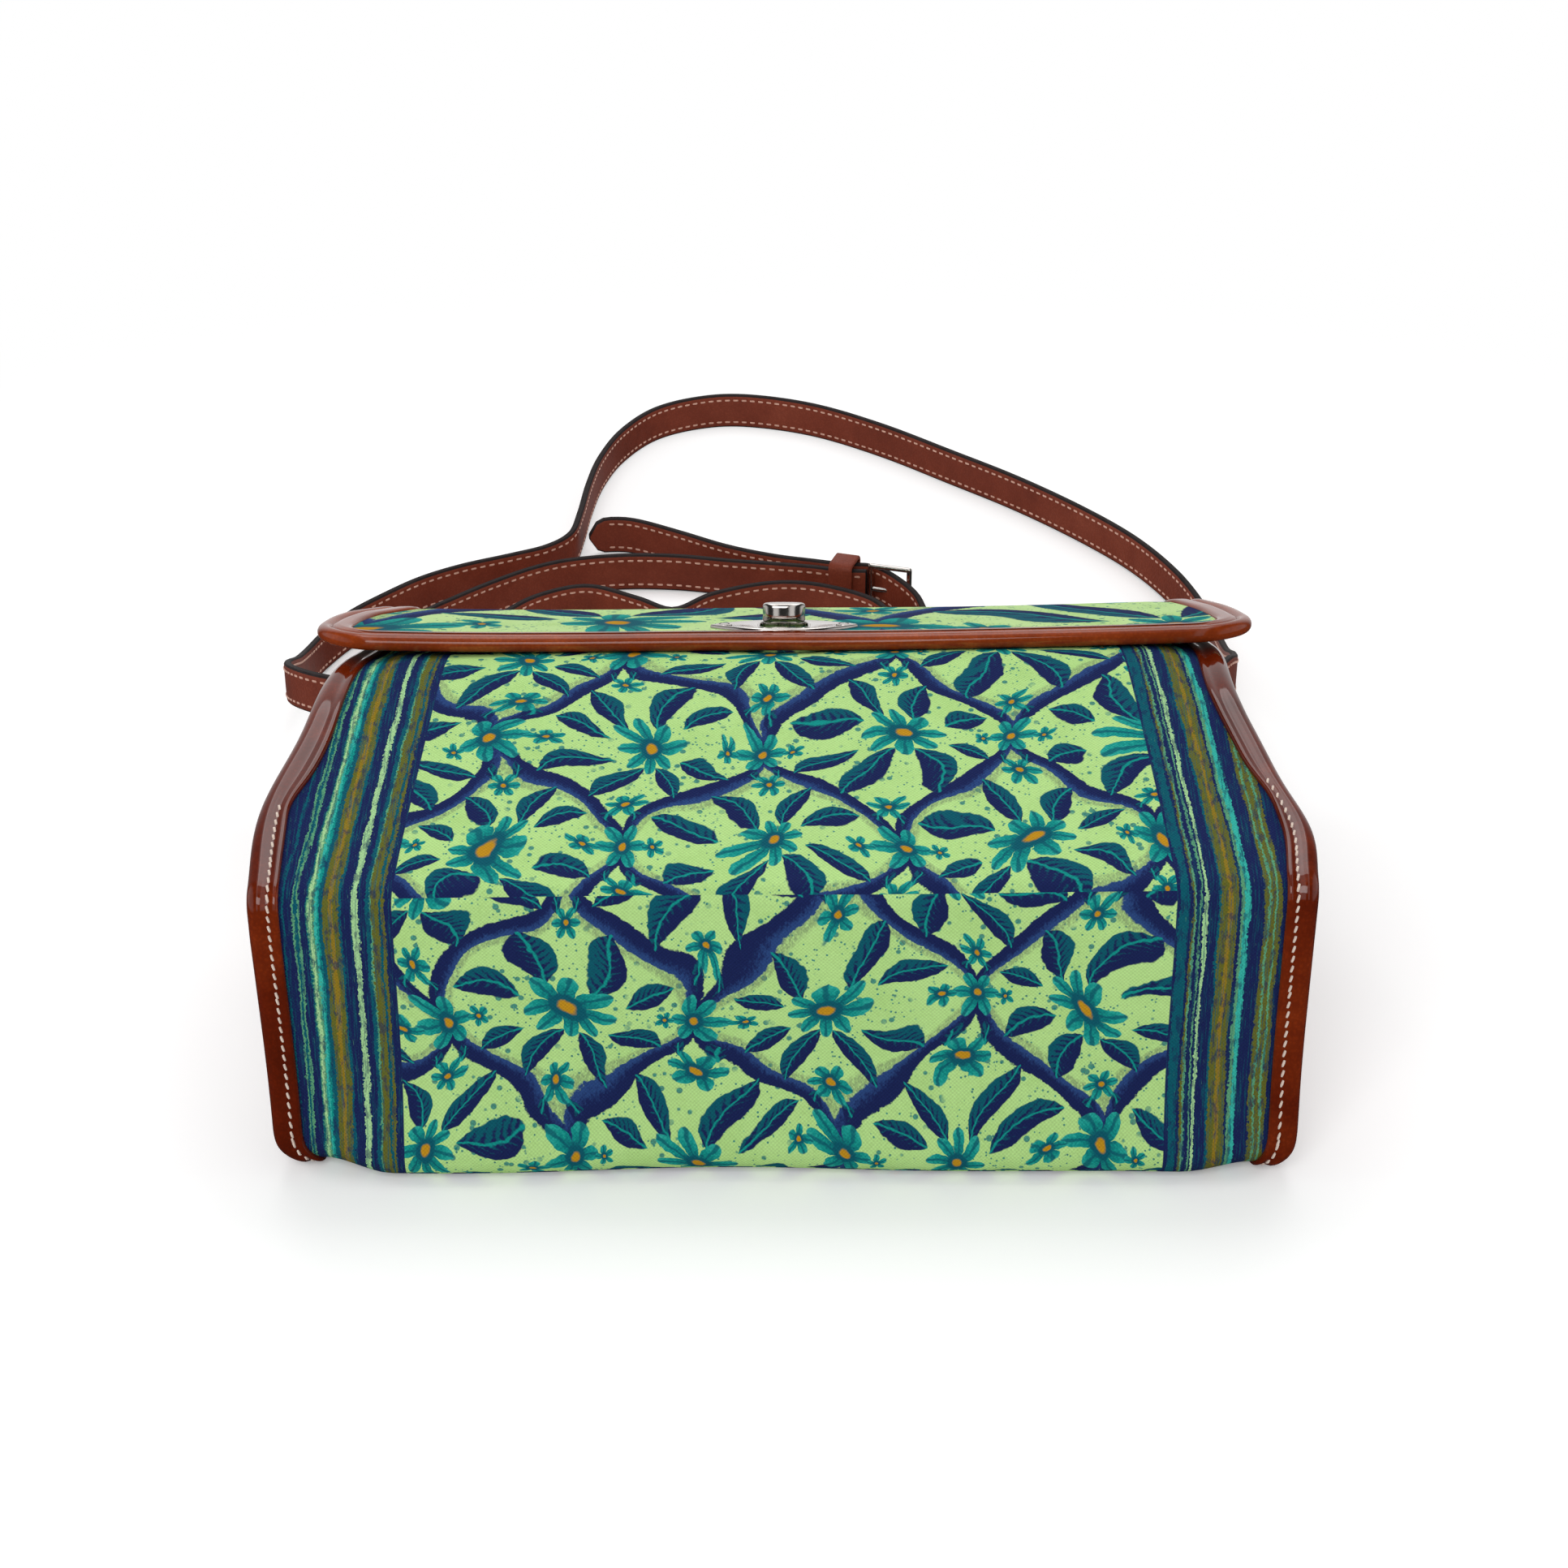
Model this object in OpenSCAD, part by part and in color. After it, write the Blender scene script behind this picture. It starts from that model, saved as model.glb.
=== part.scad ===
// Printed canvas satchel with leather sides, a turn-lock flap and loose straps, lying on its back.
// Millimetres. The back rests on z = 0, the front faces +Z and the mouth faces +Y.

/* [Bag] */
// Width across the bottom panel
bag_w = 340; // [280:1:400]
// Height from the bottom panel to the top edge of the back
bag_h = 240; // [220:1:280]
// Depth of the bottom panel
base_depth = 107.5; // [90:0.5:125]
// Narrowing of each side for each mm of height
side_taper = 0.098; // [0.06:0.002:0.12]
// Rise of the lower front
front_rise = 12; // [8:0.5:15]
// Fall of the upper front under the flap
front_fall = 17.5; // [14:0.5:20]
// Height at which the front is fullest
belly_at = 115; // [100:1:120]
// Distance from the front fold to the top edge of the back
top_run = 35; // [28:1:40]
// Height of the top edge of the back over the table
back_lift = 30; // [24:1:36]
// Length of the back that lifts from the table
lift_run = 40; // [32:1:48]

/* [Leather and canvas] */
// Thickness of the canvas panels
canvas_t = 1.4; // [1:0.1:2.2]
// Thickness of the leather sides
leather_t = 1.6; // [1.2:0.1:2.2]
// Width of the leather lapped over the canvas
flange_w = 10; // [8:0.5:14]
// Roundness of the outer edge of the sides
edge_r = 6; // [4:0.5:6.5]
// Looseness between parts that are sewn or riveted together
seam = 0.05; // [0.02:0.01:0.1]

/* [Flap] */
// How much narrower than the bottom panel the flap's free edge is
flap_less = 5; // [0:1:40]
// Narrowing of each side of the flap for each mm of height
flap_taper = 0.214; // [0.18:0.002:0.24]
// Height of the free edge over the bottom panel
flap_edge = 129.7; // [122:0.1:135]
// Corner radius at the free edge
flap_corner = 20; // [14:1:28]
// Thickness of the flap panel
flap_t = 3.3; // [2.6:0.1:4]
// Space between the sides and the underside of the flap
flap_gap = 2; // [1.8:0.1:2.6]
// Radius of the rolled edge
roll_r = 3.3; // [2.8:0.1:3.4]
// Thickness of the leather border
trim_t = 1.2; // [0.8:0.1:1.6]
// Width of the leather border at the sides, from the outer edge
trim_w = 15; // [12:0.5:18]
// Width of the leather border at the front, from the outer edge
trim_front = 10; // [9:0.5:10.5]
// Radius of the bead that the flap turns about
bead_r = 2.2; // [2:0.1:2.4]
// Space between the bead and the flap
bead_gap = 0.3; // [0.3:0.05:0.5]

/* [Turn lock] */
// Distance of the knob from the free edge
lock_in = 22.3; // [21.5:0.1:25]
// Length of the lock plate
plate_w = 53; // [51:0.5:58]
// Height of the lock plate
plate_h = 24; // [23:0.5:26]
// Thickness of the lock plate
plate_t = 1.6; // [1.2:0.1:2]
// Thickness of the plate under the flap
backplate_t = 1; // [0.8:0.1:1.1]
// Thickness of the base on the front panel
base_t = 2.1; // [1.8:0.1:2.2]
// Thickness of the washer inside the front panel
washer_t = 1.2; // [0.8:0.1:1.8]
// Length of the knob
knob_w = 15.4; // [14:0.1:16]
// Width of the knob
knob_d = 7; // [6:0.1:7.2]
// Height of the knob's head
knob_h = 7; // [5:0.1:9]
// Space between the plate and the knob's head
knob_gap = 0.6; // [0.5:0.1:1]
// Radius of the knob's stem
stem_r = 2.5; // [2:0.1:2.8]
// Radial clearance of the stem in its bores
stem_fit = 0.05; // [0.03:0.01:0.1]
// Space between the knob and the sides of the slot
slot_gap = 0.8; // [0.7:0.1:1.2]
// Length of slot in front of the knob that lets the flap swing up
slot_run = 6; // [5.5:0.1:6.4]
// Radius of the screw shanks
screw_r = 1.4; // [1.1:0.1:1.6]

/* [Straps] */
// Width of the straps
strap_w = 18; // [15:0.5:20]
// Thickness of the straps
strap_t = 3; // [2.4:0.1:3.4]
// Thickness of the leather patches under the strap ends
patch_t = 2; // [1.5:0.1:2.2]
// Width of the patches
patch_w = 22; // [20:0.5:26]
// Corner radius of the patches
patch_r = 5; // [3:0.5:7]
// Distance of the patches from the back face
patch_low = 5; // [4:0.5:8]
// Distance of the patches below the fold of the front
patch_drop = 20; // [16:0.5:30]
// Distance of the strap ends from the rear of the bag
patch_in = 36; // [34:0.5:38]
// Length of the keeper along the strap
keeper_w = 11; // [9:0.5:13]
// Thickness of the keeper
keeper_t = 1.5; // [1.2:0.1:1.8]
// Radius of the buckle wire
wire_r = 1.2; // [1:0.1:1.3]
// Inside length of the buckle frame
frame_w = 16; // [15:0.5:17]

/* [Hidden] */
steps = 6;
fold_at = bag_h - top_run;
flap_w = bag_w - flap_less;
belly_z = base_depth + belly_at * tan(front_rise);
fold_z = belly_z - (fold_at - belly_at) * tan(front_fall);

// Corners of the side view as y, z and radius, anticlockwise
side_view = [
    [0, 0, 12],
    [bag_h - lift_run, 0, 60],
    [bag_h, back_lift, 6],
    [fold_at, fold_z, 16],
    [belly_at, belly_z, 100],
    [0, base_depth, 9]
];
heel = [side_view[0].x, side_view[0].y];
crease = [side_view[5].x, side_view[5].y];
rear = [side_view[2].x, side_view[2].y];
fold = [side_view[3].x, side_view[3].y];

function unit(v) = v / norm(v);
function turn_left(v) = [-v.y, v.x];
function half_w(y) = bag_w / 2 - side_taper * y;
function reversed(v) = [v[1], v[0]];

// Ends of the strips that cut along the bag's sides
strip_ends = [-bag_h / 4, 1.5 * bag_h];

function inset_corner(c, i, d) =
    let (n = len(c), p0 = c[(i + n - 1) % n], p1 = c[i], p2 = c[(i + 1) % n],
         a = turn_left(unit([p1.x - p0.x, p1.y - p0.y])), b = turn_left(unit([p2.x - p1.x, p2.y - p1.y])))
    [p1.x, p1.y] + (a + b) * d / (1 + a * b);

// Rounded outline of a list of corners, moved inwards by d
function rounded(c, d = 0) =
    let (n = len(c), p = [for (i = [0 : n - 1]) inset_corner(c, i, d)])
    [for (i = [0 : n - 1])
        let (p1 = p[i], u = unit(p[(i + n - 1) % n] - p1), v = unit(p[(i + 1) % n] - p1),
             r = max(0.3, c[i][2] - d), half = acos(u * v) / 2,
             centre = p1 + unit(u + v) * r / sin(half), start = p1 + u * r / tan(half) - centre,
             a = atan2(start.y, start.x), sweep = 180 - 2 * half)
        for (k = [0 : steps]) centre + r * [cos(a + sweep * k / steps), sin(a + sweep * k / steps)]];

// Directions at the top edge of the back: along the mouth, and out of it
mouth_dir = unit(fold - rear);
mouth_out = -turn_left(mouth_dir);
hinge = rear + (flap_gap + flap_t / 2) * mouth_out;
mid_y = (hinge.x + bead_r) / 2;
function by_rear(out, along) = rear + out * mouth_out + along * mouth_dir;

// Cutting corners where the panels meet
fold_in = unit(unit(rear - fold) + unit([belly_at, belly_z] - fold));
rear_in = unit(mouth_dir + unit([bag_h - lift_run, 0] - rear));
heel_cut = [heel + [-20, -20], heel + [40, 40]];
crease_cut = [crease + [-20, 20], crease + [40, -40]];
fold_cut = [fold - 30 * fold_in, fold + 40 * fold_in];
rear_cut = [rear - 30 * rear_in, rear + 20 * rear_in];

// Flap: offsets of its layers from the side view, and its plan
flap_under = -flap_gap;
flap_top = flap_under - flap_t;
trim_top = flap_top - trim_t;
roll_at = (flap_under + trim_top) / 2;
flap_root = hinge + bead_r / 2 * mouth_dir;
flap_end = hinge.x - 4;
function flap_half(y) = flap_w / 2 - flap_taper * (y - flap_edge);
function flap_plan(side, front) =
    let (y1 = hinge.x + 20, y0 = flap_edge + front)
    [[-flap_half(y1) + side, y1, 0.5], [-flap_half(y0) + side, y0, max(4, flap_corner - front)],
     [flap_half(y0) - side, y0, max(4, flap_corner - front)], [flap_half(y1) - side, y1, 0.5]];
roll_line = [for (p = rounded(side_view, roll_at)) if (p.y > hinge.y) p];
roll_sort = concat([hinge - 10 * mouth_dir], [for (p = roll_line) if (p.x < hinge.x && p.x > 60) p]);
roll_table = [for (i = [len(roll_sort) - 1 : -1 : 0]) roll_sort[i]];
function roll_z(y) = lookup(y, roll_table);
fold_ys = [for (p = roll_sort) if (p.x > flap_edge + 40 && p.x < flap_end - 2) p.x];
roll_plan = rounded(flap_plan(roll_r, roll_r));
roll_flat = concat(
    [[-flap_half(flap_end) + roll_r, flap_end]],
    [for (y = fold_ys) [-flap_half(y) + roll_r, y]],
    [for (k = [0 : steps]) roll_plan[steps + 1 + k]],
    [for (k = [0 : steps]) roll_plan[2 * steps + 2 + k]],
    [for (i = [len(fold_ys) - 1 : -1 : 0]) [flap_half(fold_ys[i]) - roll_r, fold_ys[i]]],
    [[flap_half(flap_end) - roll_r, flap_end]]);
roll_path = [for (p = roll_flat) [p.x, p.y, roll_z(p.y)]];

// Lock: its own frame has z = 0 on the flap's canvas
lock_y = flap_edge + lock_in;
lock_z = belly_z - (lock_y - belly_at) * tan(front_fall) - flap_top / cos(front_fall);
canvas_at = flap_top - leather_t - seam;
screw_at = plate_w / 2 - 5;
slot_w = knob_w + 2 * slot_gap;
slot_back = knob_d / 2 + slot_gap;
slot_front = knob_d / 2 + slot_run;

// Strap routes as x, y and the height of the lower edge, chosen by eye from the photo
patch_y = bag_h - patch_in;
patch_x = half_w(patch_y) + patch_t + strap_t / 4;
shoulder_route = [
    [-patch_x, patch_y, 61], [-168, 210, 61], [-183, 220, 59], [-194, 236, 54], [-200, 258, 45],
    [-204, 288, 31], [-207, 320, 16], [-208, 350, 5], [-205, 376, 0], [-196, 397, 0], [-183, 416, 0],
    [-168, 434, 0],
    [-150, 448, 0], [-128, 460, 0], [-112, 470, 0], [-102, 485, 0], [-99, 510, 0], [-97, 545, 0],
    [-93, 580, 0], [-84, 615, 0], [-68, 645, 0], [-45, 661, 0], [-20, 664, 0], [15, 651, 0], [50, 623, 0],
    [85, 586, 0], [116, 552, 0], [145, 514, 0], [167, 478, 0], [182, 440, 0], [190, 404, 0], [191, 365, 5],
    [189, 325, 16], [186, 290, 31], [181, 258, 45], [175, 234, 56], [166, 214, 61], [patch_x, patch_y, 61]];
buckle_route = [
    [-patch_x, patch_y, 9], [-166, 212, 8], [-171, 232, 5], [-160, 258, 1], [-136, 284, 0], [-100, 308, 0],
    [-60, 325, 0], [-20, 338, 0], [15, 352, 0], [40, 372, 0], [47, 392, 0], [42, 408, 0], [28, 420, 0],
    [9, 428, 0], [-10, 427, 0], [-33, 416, 0], [-50, 400, 0], [-67, 412, 0], [-90, 425, 0], [-111, 416, 0],
    [-125, 399, 0], [-136, 378, 0], [-147, 366, 0], [-160, 367, 0], [-168, 380, 0], [-163, 397, 0],
    [-149, 414, 0], [-135, 429, 0], [-117, 445, 0], [-100, 454, 0], [-75, 459, 0], [-50, 458, 0],
    [-27, 453, 0], [0, 444, 2], [14, 439, 3], [28, 435, 3], [38, 432, 4]];
tongue_route = [
    [patch_x, patch_y, 9], [166, 212, 8], [170, 232, 5], [158, 256, 1], [135, 280, 0], [105, 307, 0],
    [82, 340, 0], [70, 372, 0], [64, 396, 0], [60, 412, 2], [51, 426, 4], [41, 438, 4], [28, 442, 3],
    [14, 446, 3],
    [-5, 454, 2], [-27, 467, 1], [-49, 485, 0], [-70, 499, 0], [-82, 502, 0], [-94, 499, 0]];
frame_from = [38.5, 432];
frame_dir = unit([10, -3]);
keeper_at = [28, 438];
keeper_dir = unit([14, -4.5]);
keeper_room = 13;

// Points of a smooth curve through a route
function bend(p, i, t) =
    let (n = len(p) - 1, a = p[max(i - 1, 0)], b = p[i], c = p[i + 1], d = p[min(i + 2, n)])
    0.5 * (2 * b + (c - a) * t + (2 * a - 5 * b + 4 * c - d) * t * t + (3 * b - a - 3 * c + d) * t * t * t);
function smooth(p, k) =
    concat([for (i = [0 : len(p) - 2]) for (j = [0 : k - 1]) bend(p, i, j / k)], [p[len(p) - 1]]);
function heading(p, i) = unit(p[min(i + 1, len(p) - 1)] - p[max(i - 1, 0)]);

canvas_colour = [0.62, 0.8, 0.42];
leather_colour = [0.42, 0.16, 0.07];
strap_colour = [0.4, 0.19, 0.13];
nickel_colour = [0.75, 0.75, 0.77];

// Helper shapes
module placed() {
    translate([0, -mid_y, 0]) children();
}

module across(w) {
    rotate([90, 0, 90]) linear_extrude(height = w, center = true) children();
}

module ring_2d(outer, inner) {
    difference() {
        polygon(rounded(side_view, outer));
        polygon(rounded(side_view, inner));
    }
}

// Everything between a and b in from the side of the bag, at one side
module side_strip(a, b) {
    linear_extrude(height = 2 * bag_w, center = true)
        polygon([for (y = strip_ends) [half_w(y) - a, y], for (y = reversed(strip_ends)) [half_w(y) - b, y]]);
}

module between_sides(a) {
    linear_extrude(height = 2 * bag_w, center = true)
        polygon([for (y = strip_ends) [half_w(y) - a, y], for (y = reversed(strip_ends)) [a - half_w(y), y]]);
}

module body_panel() {
    intersection() {
        across(bag_w) children();
        between_sides(edge_r + seam);
    }
}

module side_layer(d, a) {
    intersection() {
        across(2 * bag_w) polygon(rounded(side_view, d));
        side_strip(a, flange_w);
    }
}

module mouth_2d() {
    d = 1.7 * mouth_dir;
    polygon([fold_cut[1] - d, fold_cut[0] - d, fold + [120, 120], rear + [120, 20], rear_cut[0] + d,
        rear_cut[1] + d]);
}

module gusset() {
    inner_r = edge_r - leather_t;
    difference() {
        hull() {
            for (a = [0, 30, 60, 90]) side_layer(edge_r * (1 - cos(a)), edge_r * (1 - sin(a)));
        }
        hull() {
            for (a = [0, 45, 90]) intersection() {
                across(2 * bag_w) polygon(rounded(side_view, leather_t + inner_r * (1 - cos(a))));
                side_strip(leather_t + inner_r * (1 - sin(a)), flange_w + 20);
            }
        }
        intersection() {
            across(2 * bag_w) mouth_2d();
            side_strip(edge_r + 1, flange_w + 20);
        }
    }
}

module strap_patch() {
    front = patch_y + strap_w / 3 - patch_w;
    top = fold_z - patch_drop;
    intersection() {
        across(2 * bag_w) polygon(rounded([[front, patch_low, patch_r], [front + patch_w, patch_low, patch_r],
            [front + patch_w, top, 1.6 * patch_r], [front, top, patch_r]]));
        side_strip(-patch_t, -seam);
    }
}

module flap_slice(outer, inner) {
    across(2 * bag_w) intersection() {
        ring_2d(outer, inner);
        polygon([flap_root - 8 * mouth_out, flap_root + 20 * mouth_out, fold + [90, 120],
            [flap_edge - 20, fold.y + 120], [flap_edge - 20, fold.y - 60]]);
    }
}

module in_plan(side, front) {
    linear_extrude(height = 2 * bag_w, center = true) polygon(rounded(flap_plan(side, front)));
}

module at_lock() {
    translate([0, lock_y, lock_z]) rotate([-front_fall, 0, 0]) children();
}

module eye(w, h) {
    r = (w * w / 4 + h * h / 4) / h;
    intersection_for (s = [-1, 1]) translate([0, s * (r - h / 2)]) circle(r, $fn = 128);
}

module slot(w, front, back) {
    translate([-w / 2, -front]) square([w, front + back]);
}

module bar(w, d) {
    square([w - d, d], center = true);
    for (s = [-1, 1]) translate([s * (w - d) / 2, 0]) circle(d / 2, $fn = 48);
}

module plug(r, z0, z1) {
    translate([0, 0, z0]) cylinder(r = r, h = z1 - z0, $fn = 48);
}

module at_screws() {
    for (s = [-1, 1]) translate([s * screw_at, 0, 0]) children();
}

// Tube of n sides along a path of points
module tube(path, r, n) {
    c = len(path);
    pts = [for (i = [0 : c - 1])
        let (t = heading(path, i), s = unit(cross(t, [0, 0, 1])), u = cross(s, t))
        for (k = [0 : n - 1]) path[i] + r * (cos(360 * k / n) * s + sin(360 * k / n) * u)];
    sides = [for (i = [0 : c - 2]) for (k = [0 : n - 1])
        let (m = (k + 1) % n)
        for (f = [[i * n + k, i * n + m, (i + 1) * n + m], [i * n + k, (i + 1) * n + m, (i + 1) * n + k]]) f];
    first = [for (k = [n - 1 : -1 : 0]) k];
    last = [for (k = [0 : n - 1]) (c - 1) * n + k];
    polyhedron(pts, concat(sides, [first], [last]));
}

// Strap standing on its edge along a route
module strap(route) {
    path = smooth(route, 3);
    c = len(path);
    pts = [for (i = [0 : c - 1])
        let (t = heading(path, i), s = unit(cross([0, 0, 1], t)) * strap_t / 2)
        for (q = [path[i] + s, path[i] - s, path[i] - s + [0, 0, strap_w], path[i] + s + [0, 0, strap_w]]) q];
    sides = [for (i = [0 : c - 2]) for (k = [0 : 3])
        let (a = i * 4 + k, b = i * 4 + (k + 1) % 4)
        for (f = [[a, b + 4, a + 4], [a, b, b + 4]]) f];
    e = (c - 1) * 4;
    polyhedron(pts, concat(sides, [[0, 2, 1], [0, 3, 2], [e, e + 1, e + 2], [e, e + 2, e + 3]]));
}

module at_frame() {
    translate([frame_from.x, frame_from.y, 4 + strap_w / 2])
        rotate([0, 0, atan2(frame_dir.y, frame_dir.x)]) children();
}

// Sub-parts
module front_panel() {
    color(canvas_colour) placed() difference() {
        body_panel() intersection() {
            ring_2d(leather_t + seam, leather_t + seam + canvas_t);
            polygon([crease_cut[0], crease_cut[1], fold_cut[1], fold_cut[0], [fold.x, 400], [-20, 400]]);
        }
        at_lock() plug(stem_r + 4 * stem_fit, canvas_at - 10, canvas_at + 10);
    }
}

module bottom_panel() {
    color(canvas_colour) placed() body_panel() intersection() {
        ring_2d(leather_t + seam, leather_t + seam + canvas_t);
        polygon([heel_cut[0], heel_cut[1], crease_cut[1], crease_cut[0]]);
    }
}

module back_panel() {
    color(canvas_colour) placed() {
        body_panel() {
            intersection() {
                ring_2d(leather_t + seam, leather_t + seam + canvas_t);
                polygon([heel_cut[0], heel_cut[1], rear_cut[1], rear_cut[0], rear + [60, -90], [-20, -60]]);
            }
        }
        intersection() {
            across(bag_w) translate([14, 0]) square([bag_h - lift_run - 44, leather_t + canvas_t]);
            between_sides(flange_w + 6 * seam);
        }
        intersection() {
            across(bag_w) {
                translate(hinge) circle(bead_r, $fn = 48);
                polygon([hinge - 0.2 * mouth_dir, by_rear(0.2, 0.3), by_rear(-3, 2.2), by_rear(-5.2, 1.8),
                    by_rear(-5.2, 0.9), by_rear(-1, -0.6), hinge - 1.8 * mouth_dir]);
            }
            between_sides(flange_w + 6 * seam);
        }
    }
}

module left_gusset() {
    color(leather_colour) placed() mirror([1, 0, 0]) gusset();
}

module right_gusset() {
    color(leather_colour) placed() gusset();
}

module left_strap_patch() {
    color(leather_colour) placed() mirror([1, 0, 0]) strap_patch();
}

module right_strap_patch() {
    color(leather_colour) placed() strap_patch();
}

module flap_panel() {
    color(canvas_colour) placed() difference() {
        intersection() {
            flap_slice(flap_top, flap_under);
            in_plan(2 * roll_r + 4 * seam, 2 * roll_r + 4 * seam);
        }
        translate([0, hinge.x, hinge.y]) rotate([0, 90, 0]) cylinder(r = bead_r + bead_gap, h = bag_w,
            center = true, $fn = 48);
        at_lock() {
            translate([0, 0, -flap_t - 2]) linear_extrude(height = flap_t + 4)
                slot(slot_w + 2, slot_front + 3, slot_back + 0.5);
            at_screws() plug(screw_r + 4 * seam, -flap_t - 2, 2);
        }
    }
}

module flap_trim() {
    color(leather_colour) placed() {
        intersection() {
            flap_slice(trim_top, flap_top - seam);
            difference() {
                in_plan(roll_r, roll_r);
                in_plan(trim_w, trim_front);
            }
            translate([-bag_w, 0, 0]) cube([2 * bag_w, flap_end, 400]);
        }
        tube(roll_path, roll_r, 10);
    }
}

module lock_plate() {
    color(nickel_colour) placed() at_lock() difference() {
        translate([0, 0, seam]) linear_extrude(height = plate_t - seam) difference() {
            eye(plate_w, plate_h);
            slot(slot_w, slot_front, slot_back);
        }
        at_screws() {
            plug(screw_r + 4 * seam, -1, plate_t + 1);
            plug(screw_r + 1, plate_t - 0.6, plate_t + 1);
        }
    }
}

module lock_backplate() {
    color(nickel_colour) placed() at_lock() translate([0, 0, -flap_t - backplate_t - 3 * seam]) difference() {
        linear_extrude(height = backplate_t - seam) difference() {
            translate([-plate_w / 2, -slot_front - 5]) square([plate_w, slot_front + slot_back + 8.5]);
            slot(slot_w + 2, slot_front + 3, slot_back + 0.5);
        }
        at_screws() plug(screw_r + seam, -1, backplate_t + 1);
    }
}

module lock_screws() {
    color(nickel_colour) placed() at_lock() at_screws() {
        plug(screw_r, -flap_t - backplate_t - 3 * seam, plate_t - 0.3);
        plug(screw_r + 0.9, plate_t - 0.6 + seam, plate_t);
    }
}

module lock_base() {
    color(nickel_colour) placed() at_lock() difference() {
        translate([0, 0, canvas_at]) linear_extrude(height = base_t) bar(24, 14);
        plug(stem_r + stem_fit, canvas_at - 1, canvas_at + base_t + 1);
    }
}

module lock_base_washer() {
    color(nickel_colour) placed() at_lock() difference() {
        translate([0, 0, canvas_at - canvas_t - washer_t - seam]) linear_extrude(height = washer_t)
            bar(24, 14);
        plug(stem_r + stem_fit, canvas_at - canvas_t - washer_t - 1, canvas_at);
    }
}

module lock_knob() {
    z0 = plate_t + knob_gap;
    foot = canvas_at - canvas_t - washer_t - 3 * seam;
    color(nickel_colour) placed() at_lock() {
        plug(stem_r, foot - 0.8, z0 + 1);
        plug(stem_r + 1.5, foot - 0.8, foot);
        translate([0, 0, z0]) linear_extrude(height = 1) bar(knob_w - 3, knob_d - 1.6);
        translate([0, 0, z0 + 1]) linear_extrude(height = knob_h - 1.6) bar(knob_w, knob_d);
        translate([0, 0, z0 + knob_h - 0.6]) linear_extrude(height = 0.6) bar(knob_w - 1.2, knob_d - 1.2);
    }
}

module shoulder_strap() {
    color(strap_colour) placed() strap(shoulder_route);
}

module buckle_strap() {
    color(strap_colour) placed() strap(buckle_route);
}

module tongue_strap() {
    color(strap_colour) placed() difference() {
        strap(tongue_route);
        at_frame() rotate([0, 90, 0]) translate([0, 0, 4]) cylinder(r = wire_r + 0.5, h = frame_w, $fn = 24);
    }
}

module strap_keeper() {
    color(strap_colour) placed() translate([keeper_at.x, keeper_at.y, 0])
        rotate([0, 0, atan2(keeper_dir.y, keeper_dir.x)]) difference() {
            translate([-keeper_w / 2, -keeper_room / 2 - keeper_t, 0])
                cube([keeper_w, keeper_room + 2 * keeper_t, strap_w + 2 * keeper_t + 4]);
            translate([-keeper_w, -keeper_room / 2, keeper_t])
                cube([2 * keeper_w, keeper_room, strap_w + 4]);
        }
}

module buckle_frame() {
    l = frame_w + 2 * wire_r;
    h = strap_w + 2 * wire_r + 2.4;
    color(nickel_colour) placed() at_frame() translate([0.3, 0, 0]) {
        for (x = [wire_r, l + wire_r]) translate([x, 0, -h / 2]) cylinder(r = wire_r, h = h, $fn = 32);
        for (z = [-h / 2, h / 2]) {
            translate([wire_r, 0, z]) rotate([0, 90, 0]) cylinder(r = wire_r, h = l, $fn = 32);
            for (x = [wire_r, l + wire_r]) translate([x, 0, z]) sphere(wire_r, $fn = 32);
        }
    }
}

module buckle_prong() {
    color(nickel_colour) placed() at_frame() translate([0.3 + 2 * wire_r + 0.1, 0, 0])
        rotate([0, 90, 0]) cylinder(r = wire_r * 0.9, h = frame_w - 0.2, $fn = 32);
}

front_panel();
bottom_panel();
back_panel();
left_gusset();
right_gusset();
left_strap_patch();
right_strap_patch();
flap_panel();
flap_trim();
lock_plate();
lock_backplate();
lock_screws();
lock_base();
lock_base_washer();
lock_knob();
shoulder_strap();
buckle_strap();
tongue_strap();
strap_keeper();
buckle_frame();
buckle_prong();
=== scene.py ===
import math
from functools import partialmethod

import bpy
import numpy as np
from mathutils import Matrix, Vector


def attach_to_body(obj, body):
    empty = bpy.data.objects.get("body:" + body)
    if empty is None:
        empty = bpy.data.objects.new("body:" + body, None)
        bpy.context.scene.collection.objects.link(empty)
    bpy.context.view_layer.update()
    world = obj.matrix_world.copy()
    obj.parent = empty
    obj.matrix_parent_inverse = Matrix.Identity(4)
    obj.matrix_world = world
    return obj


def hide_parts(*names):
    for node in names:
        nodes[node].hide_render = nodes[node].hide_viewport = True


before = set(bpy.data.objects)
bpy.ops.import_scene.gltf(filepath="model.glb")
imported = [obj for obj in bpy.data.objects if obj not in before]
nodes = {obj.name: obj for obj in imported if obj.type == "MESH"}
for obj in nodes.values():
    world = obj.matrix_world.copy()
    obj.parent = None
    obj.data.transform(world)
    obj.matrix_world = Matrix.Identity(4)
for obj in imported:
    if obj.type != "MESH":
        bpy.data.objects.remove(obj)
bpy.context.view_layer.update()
scene = bpy.context.scene
scene.view_settings.view_transform = "Standard"

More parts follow.
